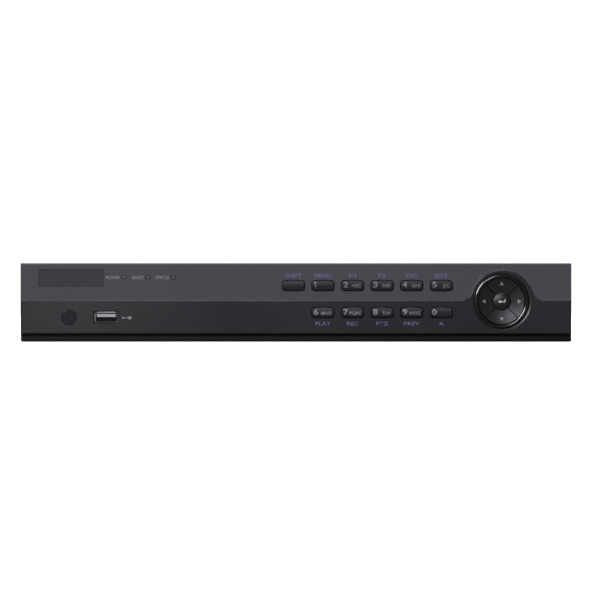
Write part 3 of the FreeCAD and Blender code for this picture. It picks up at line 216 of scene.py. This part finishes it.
def rubbery(name, color, rough=0.8):
    look = Look(name, sheen=0.12)
    look.set("color", look.dusty(look.mix(look.noise(0.004, 4.0), [c * 0.8 for c in color],
                                          [c * 1.3 for c in color]), 0.10, 0.0008))
    look.set("rough", look.remap(look.noise(0.003, 3.0), rough - 0.08, rough + 0.08))
    look.bump(look.noise(0.00045, 3.0), 0.00001)
    return look


def cast_metal(name, color):
    look = Look(name, metal=0.85)
    look.set("color", look.mix(look.noise(0.009, 5.0, rough=0.6), [c * 0.72 for c in color], color))
    look.set("rough", look.remap(look.noise(0.002, 3.0), 0.42, 0.62))
    look.bump(look.noise(0.0011, 3.0), 0.00002)
    return look


def anodised(name, color):
    look = Look(name, metal=0.6)
    look.set("color", look.mix(look.noise(0.01, 3.0), [c * 0.85 for c in color], color))
    look.set("rough", look.remap(look.noise(0.003, 3.0), 0.34, 0.50))
    look.bump(look.noise(0.0005, 2.0, by=(1.0, 1.0, 0.06)), 0.000006)
    return look


def striped(name, color, stripe, pitch, axis="X"):
    """A flat ribbon of round wires side by side, one of them marked."""
    look = Look(name)
    across = look.math("MULTIPLY", look.axis(axis), 2 * math.pi / pitch)
    ridge = look.math("ABSOLUTE", look.math("SINE", look.math("MULTIPLY", across, 0.5)))
    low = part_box("front_ribbon_cable")[0].x
    marked = look.remap(look.axis(axis), 1.0, 0.0, low + pitch * 0.9, low + pitch * 1.1)
    base = look.mix(look.noise(0.01, 3.0), [c * 0.9 for c in color], color)
    look.set("color", look.mix(marked, base, stripe))
    look.set("rough", look.remap(look.noise(0.004, 2.0), 0.40, 0.55))
    look.bump(ridge, 0.0004)
    return look


def smoked(name, color, through, rough=0.12, **shader):
    """Tinted clear plastic."""
    look = Look(name, through=through, ior=1.49, **shader)
    look.set("color", look.mix(look.noise(0.004, 3.0), [c * 0.9 for c in color], color))
    look.set("rough", look.remap(look.noise(0.002, 3.0), rough - 0.04, rough + 0.06))
    look.bump(look.noise(0.0012, 2.0), 0.000002)
    return look


def printed(name, color, rough=0.5):
    """Screen-printed ink, slightly uneven."""
    look = Look(name)
    thin = look.remap(look.noise(0.0006, 3.0, rough=0.7), 0.0, 1.0, 0.3, 0.75)
    look.set("color", look.mix(thin, color, [c * 0.75 for c in color]))
    look.set("rough", look.remap(look.noise(0.0005, 2.0), rough - 0.08, rough + 0.08))
    look.bump(look.noise(0.0003, 2.0), 0.000004)
    return look


def fascia(name, color, rough, spread, depth, **shader):
    """Satin paint over moulded plastic, with metallic flake so fine that it reads as a soft grain."""
    look = Look(name, **shader)
    flake = look.cells(0.00022, out="Color")
    tone = look.node("ShaderNodeSeparateColor", {"Color": flake}).outputs[0]
    dark, light = [c * 0.90 for c in color], [c * 1.10 for c in color]
    base = look.mix(tone, dark, light)
    haze = look.remap(look.noise(0.06, 3.0), 0.0, 0.10)
    look.set("color", look.dusty(look.mix(haze, base, (0.2, 0.2, 0.2)), 0.012))
    look.set("rough", look.remap(look.noise(0.012, 4.0), rough - spread, rough + spread))
    look.bump(look.noise(0.0004, 2.0), depth)
    return look


def painted_shade_within(node, color, shade_color, reach):
    """Moulded plastic with painted shade: it darkens to a near-black shade colour over a length of reach
    behind the node's front face, where shade falls deep inside a socket.
    """
    look = moulded(node + "_plastic", color, 0.35)
    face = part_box(node)[0].y
    # Painted shade: the mask runs from 0 at half of reach behind the front face to 1 at reach.
    depth = look.remap(look.axis("Y"), 0.0, 1.0, face + reach * 0.5, face + reach)
    outer = look.bsdf.inputs["Base Color"].links[0].from_socket
    look.set("color", look.mix(depth, outer, shade_color))
    return look


looks = {
    "bezel": moulded("bezel_plastic", (0.0030, 0.0030, 0.0033), 0.40, depth=0.000004, spec=0.25),
    "upper_fascia": fascia("upper_fascia_paint", (0.0668, 0.0630, 0.0785), 0.56, 0.04, 0.000005, spec=0.21),
    "lower_fascia": fascia("lower_fascia_paint", (0.0128, 0.0119, 0.0158), 0.26, 0.03, 0.000003, spec=0.5),
    "name_plate": fascia("name_plate_paint", (0.0295, 0.0278, 0.0365), 0.42, 0.04, 0.000002, spec=0.34),
    "light_pipe": smoked("light_pipe_plastic", (0.034, 0.035, 0.033), 0.08, 0.30),
    "ir_window": smoked("infrared_filter", (0.008, 0.0074, 0.0115), 0.10, 0.26, spec=0.36),
    "usb_shell": plated("usb_tin", (0.34, 0.35, 0.36), 0.32, (1.0, 0.05, 1.0)),
    # The memory port's tongue gets painted shade towards the back of its socket.
    "usb_tongue": painted_shade_within("usb_tongue", (0.50, 0.49, 0.51), (0.004, 0.004, 0.004), 0.002),
    "nav_ring": moulded("nav_ring_gloss", (0.004, 0.004, 0.0045), 0.16, 0.03, depth=0.0000008, coat=1.0,
                        coat_rough=0.14),
    "key": moulded("key_plastic", (0.0218, 0.0207, 0.0262), 0.40, 0.04, depth=0.000003, spec=0.26),
    "nav_key": moulded("nav_key_plastic", (0.014, 0.0134, 0.0158), 0.36, 0.04, depth=0.000003),
    "membrane": rubbery("silicone_rubber", (0.10, 0.105, 0.11), 0.6),
    "front_board": circuit("front_board_mask", (0.006, 0.055, 0.022), (0.012, 0.095, 0.036)),
    "small_screw": plated("zinc_screw", (0.58, 0.58, 0.57), 0.30),
    "chassis": galvanised("galvanised_sheet", (0.60, 0.61, 0.62)),
    "cover": painted("black_powder_coat", (0.0125, 0.0125, 0.0135), 0.52),
    "cover_screw": plated("black_oxide_screw", (0.035, 0.035, 0.037), 0.38),
    "foot": rubbery("foot_rubber", (0.012, 0.012, 0.012), 0.82),
    "main_board": circuit("main_board_mask", (0.006, 0.055, 0.022), (0.012, 0.095, 0.036)),
    "heatsink": anodised("anodised_fins", (0.045, 0.045, 0.047)),
    "chip": moulded("chip_epoxy", (0.010, 0.010, 0.011), 0.55, depth=0.000004),
    "capacitor": plated("capacitor_can", (0.66, 0.67, 0.68), 0.30, (1.0, 1.0, 0.05)),
    "drive_body": cast_metal("drive_casting", (0.55, 0.56, 0.57)),
    "drive_cover": plated("drive_cover_steel", (0.68, 0.69, 0.70), 0.24, (0.05, 1.0, 1.0)),
    "drive_board": circuit("drive_board_mask", (0.005, 0.040, 0.022), (0.010, 0.075, 0.036)),
    "data_cable": moulded("red_jacket", (0.32, 0.012, 0.010), 0.45, depth=0.000008),
    "power_cable": moulded("black_jacket", (0.010, 0.010, 0.010), 0.48, depth=0.000008),
    "ribbon": striped("grey_ribbon", (0.34, 0.34, 0.33), (0.42, 0.02, 0.02), 0.00125),
    "bnc": plated("nickel_barrel", (0.66, 0.65, 0.61), 0.22, (1.0, 0.04, 1.0)),
    "bnc_insert": moulded("white_insulator", (0.74, 0.74, 0.71), 0.40),
    "jack_housing": moulded("jack_plastic", (0.010, 0.010, 0.010), 0.50, depth=0.00001),
    "audio_sleeve": plated("nickel_sleeve", (0.64, 0.63, 0.59), 0.22, (1.0, 0.04, 1.0)),
    "video_shell": plated("nickel_shroud", (0.62, 0.62, 0.60), 0.26, (1.0, 0.08, 1.0)),
    "video_insert": moulded("blue_insert", (0.008, 0.028, 0.26), 0.38),
    "digital_port": plated("port_tin", (0.56, 0.56, 0.55), 0.28, (1.0, 0.05, 1.0)),
    "network_jack": plated("shield_tin", (0.56, 0.56, 0.55), 0.28, (1.0, 0.05, 1.0)),
    "terminal": moulded("terminal_green", (0.012, 0.17, 0.045), 0.42),
    "power_jack": moulded("supply_jack_plastic", (0.010, 0.010, 0.010), 0.46),
    "ground_screw": plated("bright_zinc", (0.62, 0.62, 0.60), 0.24),
    "switch_frame": moulded("switch_frame_plastic", (0.011, 0.011, 0.011), 0.42, depth=0.000008),
    "rocker": moulded("rocker_plastic", (0.009, 0.009, 0.0095), 0.25),
    "fan": moulded("fan_frame_plastic", (0.010, 0.010, 0.0105), 0.48, depth=0.00001),
    "fan_rotor": moulded("fan_blade_plastic", (0.012, 0.012, 0.0125), 0.38),
}
GREY_INK = printed("grey_ink", (0.30, 0.30, 0.31))
KEY_INK = printed("key_ink", (0.30, 0.30, 0.305))
TOP_KEY_INK = printed("top_key_ink", (0.215, 0.215, 0.222))
BLUE_INK = printed("blue_ink", (0.138, 0.143, 0.335))
BLACK_INK = printed("black_ink", (0.012, 0.012, 0.012))
WHITE_INK = printed("white_ink", (0.62, 0.62, 0.62))
GOLD = plated("gold_contact", (0.83, 0.60, 0.24), 0.22)
LENS = smoked("lamp_lens", (0.13, 0.15, 0.11), 0.20, 0.30)

for part in frame["record"]["subparts"]:
    slots = NODES[part["node"]].data.materials
    slots.clear()
    slots.append(looks[part["material_slot"]].mat)


# ---- pieces --------------------------------------------------------------------------------------

def centre(node):
    low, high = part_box(node)
    return (low + high) / 2


def surface(node):
    """The node's skin, for finding the point that a line from the front or the back meets first."""
    mesh = NODES[node].data
    return BVHTree.FromPolygons([v.co for v in mesh.vertices], [p.vertices for p in mesh.polygons])


def text_mesh(words, height, width=None, bold=0.0):
    """Flat letters from x 0, on the line y 0. height is that of a capital."""
    curve = bpy.data.curves.new("letters", "FONT")
    curve.body, curve.resolution_u, curve.offset = words, 4, bold
    holder = bpy.data.objects.new("letters", curve)
    bpy.context.scene.collection.objects.link(holder)
    bpy.context.view_layer.update()
    mesh = bpy.data.meshes.new_from_object(holder)
    bpy.data.objects.remove(holder)
    bpy.data.curves.remove(curve)
    xs = [v.co.x for v in mesh.vertices]
    scale = height / 0.729
    squeeze = width / ((max(xs) - min(xs)) * scale) if width else 1.0
    for v in mesh.vertices:
        v.co = Vector(((v.co.x - min(xs)) * scale * squeeze, v.co.y * scale, 0.0))
    return mesh


class Print:
    """Flat marks gathered in one mesh, in x and z, then laid on a node's front or back face."""

    def __init__(self):
        self.bm = bmesh.new()

    def words(self, text, x, z, height, width=None, align=0.5, bold=0.012, flip=1):
        """align 0 starts at x, 0.5 is centred on x, 1 ends at x."""
        mesh = text_mesh(text, height, width, bold)
        span = max(v.co.x for v in mesh.vertices)
        first = len(self.bm.verts)
        self.bm.from_mesh(mesh)
        self.bm.verts.ensure_lookup_table()
        for v in self.bm.verts[first:]:
            v.co = Vector((x + flip * (v.co.x - align * span), 0.0, z + v.co.y))
        bpy.data.meshes.remove(mesh)

    def shape(self, points):
        self.bm.faces.new([self.bm.verts.new((x, 0.0, z)) for x, z in points])

    def bar(self, x, z, left, foot, right, top):
        """A rectangle. Its sides are in millimetres from (x, z)."""
        corners = ((left, foot), (right, foot), (right, top), (left, top))
        self.shape([(x + a * MM, z + b * MM) for a, b in corners])

    def one(self, x, z, height):
        """A plain figure one with a short flag. x is its right edge."""
        stem, flag = 0.17 * height, 0.30 * height
        self.shape([(x - stem, z), (x, z), (x, z + height), (x - stem, z + height)])
        self.shape([(x - stem, z + height), (x - stem - flag, z + 0.80 * height),
                    (x - stem - flag, z + 0.64 * height), (x - stem, z + 0.78 * height)])

    def ring(self, x, z, outer, inner, steps=20):
        turns = [2 * math.pi * i / steps for i in range(steps)]
        rims = [[self.bm.verts.new((x + r * math.cos(t), 0.0, z + r * math.sin(t))) for t in turns]
                for r in (outer, inner)]
        for i in range(steps):
            k = (i + 1) % steps
            self.bm.faces.new([rims[0][i], rims[0][k], rims[1][k], rims[1][i]])

    def lay(self, name, node, body, ink, back=False, lift=0.00003, step=0.0004, curved=True):
        """Cuts the marks finely enough to follow the node's surface, and sets them just proud of it."""
        bm = self.bm
        bmesh.ops.triangulate(bm, faces=bm.faces)
        xs, zs = [v.co.x for v in bm.verts], [v.co.z for v in bm.verts]
        for axis, values in ((0, xs), (2, zs)):
            at = min(values) + step
            while curved and at < max(values):
                spot, normal = [0.0, 0.0, 0.0], [0.0, 0.0, 0.0]
                spot[axis], normal[axis] = at, 1.0
                bmesh.ops.bisect_plane(bm, geom=bm.verts[:] + bm.edges[:] + bm.faces[:], plane_co=spot,
                                       plane_no=normal, dist=1e-7)
                at += step
        skin = surface(node)
        way = -1.0 if back else 1.0
        last = centre(node).y
        for v in bm.verts:
            hit = skin.ray_cast(Vector((v.co.x, -way, v.co.z)), Vector((0.0, way, 0.0)))[0]
            last = hit.y if hit else last
            v.co.y = last - way * lift
        for f in bm.faces:
            f.normal_update()
            if f.normal.y * way > 0:
                f.normal_flip()
        mesh = bpy.data.meshes.new(name)
        bm.to_mesh(mesh)
        bm.free()
        piece = bpy.data.objects.new(name, mesh)
        bpy.context.scene.collection.objects.link(piece)
        mesh.materials.append(ink.mat)
        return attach(piece, body)


def solid(name, build, look, body, smooth=True):
    """A new mesh piece. build(bm) adds its faces."""
    bm = bmesh.new()
    build(bm)
    bmesh.ops.recalc_face_normals(bm, faces=bm.faces)
    mesh = bpy.data.meshes.new(name)
    bm.to_mesh(mesh)
    bm.free()
    for p in mesh.polygons:
        p.use_smooth = smooth
    piece = bpy.data.objects.new(name, mesh)
    bpy.context.scene.collection.objects.link(piece)
    mesh.materials.append(look.mat)
    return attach(piece, body)


def loft(bm, rings):
    """Joins rings of points into a skin, with a cap at both ends."""
    rows = [[bm.verts.new(p) for p in ring] for ring in rings]
    count = len(rows[0])
    for a, b in zip(rows, rows[1:]):
        for i in range(count):
            k = (i + 1) % count
            bm.faces.new([a[i], a[k], b[k], b[i]])
    bm.faces.new(rows[0][::-1])
    bm.faces.new(rows[-1])


def disc(x, y, z, rx, rz, steps=24, power=2.0):
    """Points of a rounded outline round (x, z) in the plane y."""
    points = []
    for i in range(steps):
        t = 2 * math.pi * i / steps
        c, s = math.cos(t), math.sin(t)
        points.append((x + rx * math.copysign(abs(c) ** (2 / power), c), y,
                       z + rz * math.copysign(abs(s) ** (2 / power), s)))
    return points


# Legends on the keys: digit, and the letters that share it
LETTERS = {"1": "", "2": "ABC", "3": "DEF", "4": "GHI", "5": "JKL", "6": "MNO", "7": "PQRS", "8": "TUV",
           "9": "WXYZ", "0": ""}
LETTERS_W = {"ABC": 5.4, "DEF": 4.7, "GHI": 4.8, "JKL": 3.9, "MNO": 5.8, "PQRS": 6.6, "TUV": 4.6, "WXYZ": 6.5}
FLANGE = 1.1           # the key's hidden rim, all round
DIGIT_H, DIGIT_W, DIGIT_X = 3.3, 2.6, 1.0
LETTERS_H, LETTERS_END = 1.9, 1.45
for digit, letters in LETTERS.items():
    node = "key_" + digit
    low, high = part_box(node)
    left, right, foot = low.x + FLANGE * MM, high.x - FLANGE * MM, low.z + FLANGE * MM
    lower_row = digit in "67890"
    line = foot + (1.55 if lower_row else 1.9) * MM
    marks = Print()
    if digit == "1":
        marks.one(left + 2.3 * MM, line, DIGIT_H * MM)
    else:
        marks.words(digit, left + DIGIT_X * MM, line, DIGIT_H * MM, DIGIT_W * MM, 0.0, 0.02)
    if letters:
        marks.words(letters, right - LETTERS_END * MM, line, LETTERS_H * MM, LETTERS_W[letters] * MM, 1.0)
    marks.lay("legend_" + digit, node, node, KEY_INK if lower_row else TOP_KEY_INK)

# Function names above and below the keys
above = {"shift": ("SHIFT", 9.3), "1": ("MENU", 9.7), "2": ("F1", 3.9), "3": ("F2", 4.0), "4": ("ESC", 6.7),
         "5": ("EDIT", 7.6)}
below = {"6": ("PLAY", 8.7), "7": ("REC", 6.6), "8": ("PTZ", 6.9), "9": ("PREV", 9.0), "0": ("A", 2.6)}
marks = Print()
for key, (words, width) in above.items():
    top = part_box("key_" + key)[1].z - FLANGE * MM
    marks.words(words, centre("key_" + key).x, top + 1.75 * MM, 2.3 * MM, width * MM)
marks.lay("labels_over_keys", "upper_fascia", ROOT, BLUE_INK, curved=False)
marks = Print()
for key, (words, width) in below.items():
    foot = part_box("key_" + key)[0].z + FLANGE * MM
    marks.words(words, centre("key_" + key).x, foot - 4.55 * MM, 2.2 * MM, width * MM)
marks.lay("labels_under_keys", "lower_fascia", ROOT, BLUE_INK, curved=False)

# Names of the three lamps
pipe_low, pipe_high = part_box("led_light_pipes")
lamp_z = (pipe_low.z + pipe_high.z) / 2
WINDOW_HALF, MIDDLE_LAMP_X = 2.4, -84.5
lamps = (pipe_low.x + WINDOW_HALF * MM, MIDDLE_LAMP_X * MM, pipe_high.x - WINDOW_HALF * MM)
marks = Print()
for x, words, width in zip(lamps, ("POWER", "READY", "STATUS"), (8.0, 6.9, 7.7)):
    marks.words(words, x - 2.3 * MM, lamp_z - 1.0 * MM, 2.0 * MM, width * MM, 1.0, 0.006)
marks.lay("lamp_names", "upper_fascia", ROOT, GREY_INK, curved=False)

# Small domed lens in each lamp window
window_y = pipe_low.y


def lenses(bm):
    for x in lamps:
        loft(bm, [disc(x, window_y - d * MM, lamp_z, r * MM, r * 0.75 * MM, 20, 2.6)
                  for d, r in ((-0.3, 0.75), (0.02, 0.75), (0.06, 0.62), (0.08, 0.35), (0.085, 0.1))])


solid("lamp_lenses", lenses, LENS, ROOT)

# A plain plug mark beside the memory port
usb = centre("usb_shell")
marks = Print()
x0, z0 = usb.x + 9.1 * MM, usb.z - 0.3 * MM
marks.ring(x0 + 0.5 * MM, z0, 0.55 * MM, 0.0001 * MM)
marks.bar(x0, z0, 1.0, -0.18, 3.6, 0.18)
marks.bar(x0, z0, 3.6, -0.75, 5.4, 0.75)
marks.lay("port_mark", "lower_fascia", ROOT, GREY_INK, curved=False)

# Arrow marks on the arrow keys, and the return mark on the middle key
ARROW_RADIUS = 10.1     # from the pad's middle to each arrow mark
nav = centre("nav_enter")
for name, way in (("nav_up", (0, 1)), ("nav_right", (1, 0)), ("nav_down", (0, -1)), ("nav_left", (-1, 0))):
    cx, cz = nav.x + way[0] * ARROW_RADIUS * MM, nav.z + way[1] * ARROW_RADIUS * MM
    marks = Print()
    ends = [(1.15, 0.0), (-0.85, 1.15), (-0.85, -1.15)]
    marks.shape([(cx + (a * way[0] - b * way[1]) * MM, cz + (a * way[1] + b * way[0]) * MM) for a, b in ends])
    marks.lay("mark_" + name, name, name, KEY_INK)
marks = Print()
marks.shape([(nav.x + a * MM, nav.z + b * MM) for a, b in ((-2.3, -0.25), (-0.4, -1.15), (-0.4, 0.65))])
marks.bar(nav.x, nav.z, -0.4, -0.6, 2.2, 0.1)
marks.bar(nav.x, nav.z, 1.5, 0.1, 2.2, 1.2)
marks.lay("mark_nav_enter", "nav_enter", "nav_enter", WHITE_INK)

# Four contacts on the underside of the memory port's tongue
tongue_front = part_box("usb_tongue")[0].y


def contacts(bm):
    under = usb.z + 0.03 * MM
    for off in (-3.5, -1.0, 1.0, 3.5):         # the standard's places across the tongue
        x = usb.x + off * MM
        loft(bm, [disc(x, tongue_front + d * MM, under - h * MM, 0.5 * MM, 0.06 * MM, 12, 4.0)
                  for d, h in ((0.6, 0.0), (1.2, 0.05), (5.0, 0.05), (6.5, 0.0))])


solid("usb_contacts", contacts, GOLD, ROOT)

# Names of the rear sockets, in black on the bare sheet
REAR_H, REAR_BOLD, REAR_GAP = 2.0, 0.03, 1.4
BNC_PITCH, BNC_BASE_R, BNC_INPUTS = 15.5 * MM, 6.3 * MM, 8
barrels_low, barrels_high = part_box("bnc_barrels")
first_x, last_x = barrels_high.x - BNC_BASE_R, barrels_low.x + BNC_BASE_R
low_z, top_z = barrels_low.z + BNC_BASE_R, barrels_high.z - BNC_BASE_R
marks = Print()
for i in range(BNC_INPUTS):
    x = first_x - BNC_PITCH * (i // 2)
    foot = (low_z if i % 2 else top_z) + 3.6 * MM
    marks.words(str(i + 1), x - BNC_PITCH / 2, foot, REAR_H * MM, bold=REAR_BOLD, flip=-1)
over = {"audio_sleeves": "AUDIO", "video_port_shell": "MONITOR", "digital_port": "DIGITAL",
        "network_jack": "NETWORK", "control_terminal": "CONTROL", "power_jack": "DC 12V"}
for node, words in over.items():
    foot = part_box(node)[1].z + REAR_GAP * MM
    marks.words(words, centre(node).x, foot, REAR_H * MM, bold=REAR_BOLD, flip=-1)
marks.words("VIDEO OUT", last_x, low_z + BNC_BASE_R + REAR_GAP * MM, REAR_H * MM, bold=REAR_BOLD, flip=-1)
earth = centre("ground_screw")
for width, drop in ((3.4, 4.6), (2.2, 5.5), (1.0, 6.4)):
    marks.bar(earth.x, earth.z - drop * MM, -width / 2, 0.0, width / 2, 0.35)
marks.lay("rear_labels", "chassis_base", ROOT, BLACK_INK, back=True, curved=False)

# Bar and ring on the power rocker
ROCKER_MARK = 4.6      # from the rocker's middle to each mark
rocker = centre("power_rocker")
marks = Print()
marks.bar(rocker.x, rocker.z + ROCKER_MARK * MM, -0.3, -1.5, 0.3, 1.5)
marks.ring(rocker.x, rocker.z - ROCKER_MARK * MM, 1.5 * MM, 0.95 * MM)
marks.lay("rocker_marks", "power_rocker", "power_rocker", WHITE_INK, back=True)

# Pin in the middle of every coaxial socket


def pins(bm):
    places = [(first_x - BNC_PITCH * (i // 2), low_z if i % 2 else top_z) for i in range(BNC_INPUTS)]
    for x, z in places + [(last_x, low_z)]:
        loft(bm, [disc(x, barrels_high.y - d * MM, z, r * MM, r * MM, 16)
                  for d, r in ((7.0, 0.72), (2.0, 0.72), (1.75, 0.62), (1.7, 0.42), (3.2, 0.36))])


solid("bnc_pins", pins, GOLD, ROOT)

# Eight spring contacts across the top of the network socket
CONTACTS, CONTACT_PITCH = 8, 1.016
network_low, network_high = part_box("network_jack")


def network_contacts(bm):
    top, face = network_low.z + 11.75 * MM, network_high.y
    section = ((-0.22, 0.0), (0.22, 0.0), (0.22, 0.3), (-0.22, 0.3))
    for i in range(CONTACTS):
        x = centre("network_jack").x + CONTACT_PITCH * MM * (i - (CONTACTS - 1) / 2)
        loft(bm, [[(x + a * MM, face - d * MM, top - (h + b) * MM) for a, b in section]
                  for d, h in ((2.6, 0.9), (3.4, 1.2), (9.0, 3.6))])


solid("network_contacts", network_contacts, GOLD, ROOT, smooth=False)


# ---- stage, light and camera ---------------------------------------------------------------------

FLOOR_GLOW = 0.45      # keeps the floor pale under a soft light


def stage_floor():
    bm = bmesh.new()
    bmesh.ops.create_grid(bm, x_segments=8, y_segments=8, size=40.0)
    mesh = bpy.data.meshes.new("floor")
    bm.to_mesh(mesh)
    bm.free()
    floor = bpy.data.objects.new("floor", mesh)
    bpy.context.scene.collection.objects.link(floor)
    look = Look("pale_floor", rough=0.9, spec=0.0, glow_color=(1.0, 1.0, 1.0))
    seen = look.node("ShaderNodeLightPath").outputs["Is Camera Ray"]
    look.set("glow", look.math("MULTIPLY", seen, FLOOR_GLOW))
    grain = look.mix(look.noise(0.4, 3.0), (0.90, 0.90, 0.90), (0.94, 0.94, 0.94))
    look.set("color", look.mix(seen, (0.10, 0.10, 0.10), grain))
    look.bump(look.noise(0.002, 2.0), 0.00001)
    mesh.materials.append(look.mat)
    floor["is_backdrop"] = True


def area_light(name, place, target, size, power, tint=(1.0, 1.0, 1.0)):
    data = bpy.data.lights.new(name, "AREA")
    data.shape, data.size, data.size_y, data.energy, data.color = "RECTANGLE", size[0], size[1], power, tint
    lamp = bpy.data.objects.new(name, data)
    lamp.location = place
    lamp.rotation_euler = (Vector(target) - Vector(place)).to_track_quat("-Z", "Y").to_euler()
    lamp.visible_camera = False
    bpy.context.scene.collection.objects.link(lamp)


def overhead_light(strength, spread):
    """Even light from straight above, soft over an angle of spread degrees."""
    data = bpy.data.lights.new("overhead", "SUN")
    data.energy, data.angle = strength, math.radians(spread)
    bpy.context.scene.collection.objects.link(bpy.data.objects.new("overhead", data))


def surroundings(seen, felt):
    """A plain background, brighter to look at than it lights."""
    world = bpy.data.worlds.new("studio")
    bpy.context.scene.world = world
    world.use_nodes = True
    tree = world.node_tree
    tree.nodes.clear()
    path = tree.nodes.new("ShaderNodeLightPath")
    out = tree.nodes.new("ShaderNodeOutputWorld")
    mix = tree.nodes.new("ShaderNodeMixShader")
    for i, strength in ((1, felt), (2, seen)):
        back = tree.nodes.new("ShaderNodeBackground")
        back.inputs["Color"].default_value = (1.0, 1.0, 1.0, 1.0)
        back.inputs["Strength"].default_value = strength
        tree.links.new(back.outputs[0], mix.inputs[i])
    tree.links.new(path.outputs["Is Camera Ray"], mix.inputs[0])
    tree.links.new(mix.outputs[0], out.inputs[0])


FIELD = 0.3429         # width seen at the front face
face_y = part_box("lower_fascia")[0].y
stage_floor()
surroundings(1.0, 0.06)
overhead_light(2.1, 45.0)
area_light("key_light", (-2.35, -2.77, 1.67), (0.0, -0.1, 0.02), (1.6, 1.6), 107.0)
area_light("left_glow", (-0.175, -0.72, 0.03), (-0.13, face_y, 0.015), (0.06, 0.08), 0.038)
area_light("dial_glow", (-0.075, -1.216, 0.473), tuple(centre("nav_enter")), (0.28, 0.28), 2.6,
           (1.0, 0.95, 1.06))
area_light("rear_light", (0.9, 2.2, 1.5), (0.0, 0.1, 0.02), (1.4, 1.0), 45.0)

CAMERA_X, CAMERA_Z = 0.0023, 0.02397
camera_data = bpy.data.cameras.new("camera")
camera_data.lens, camera_data.sensor_width = 200.0, 36.0
camera = bpy.data.objects.new("camera", camera_data)
camera.location = (CAMERA_X, face_y - FIELD * camera_data.lens / camera_data.sensor_width, CAMERA_Z)
camera.rotation_euler = (math.pi / 2, 0.0, 0.0)
bpy.context.scene.collection.objects.link(camera)
bpy.context.scene.camera = camera
bpy.context.scene.view_settings.view_transform = "Standard"

low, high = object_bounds()
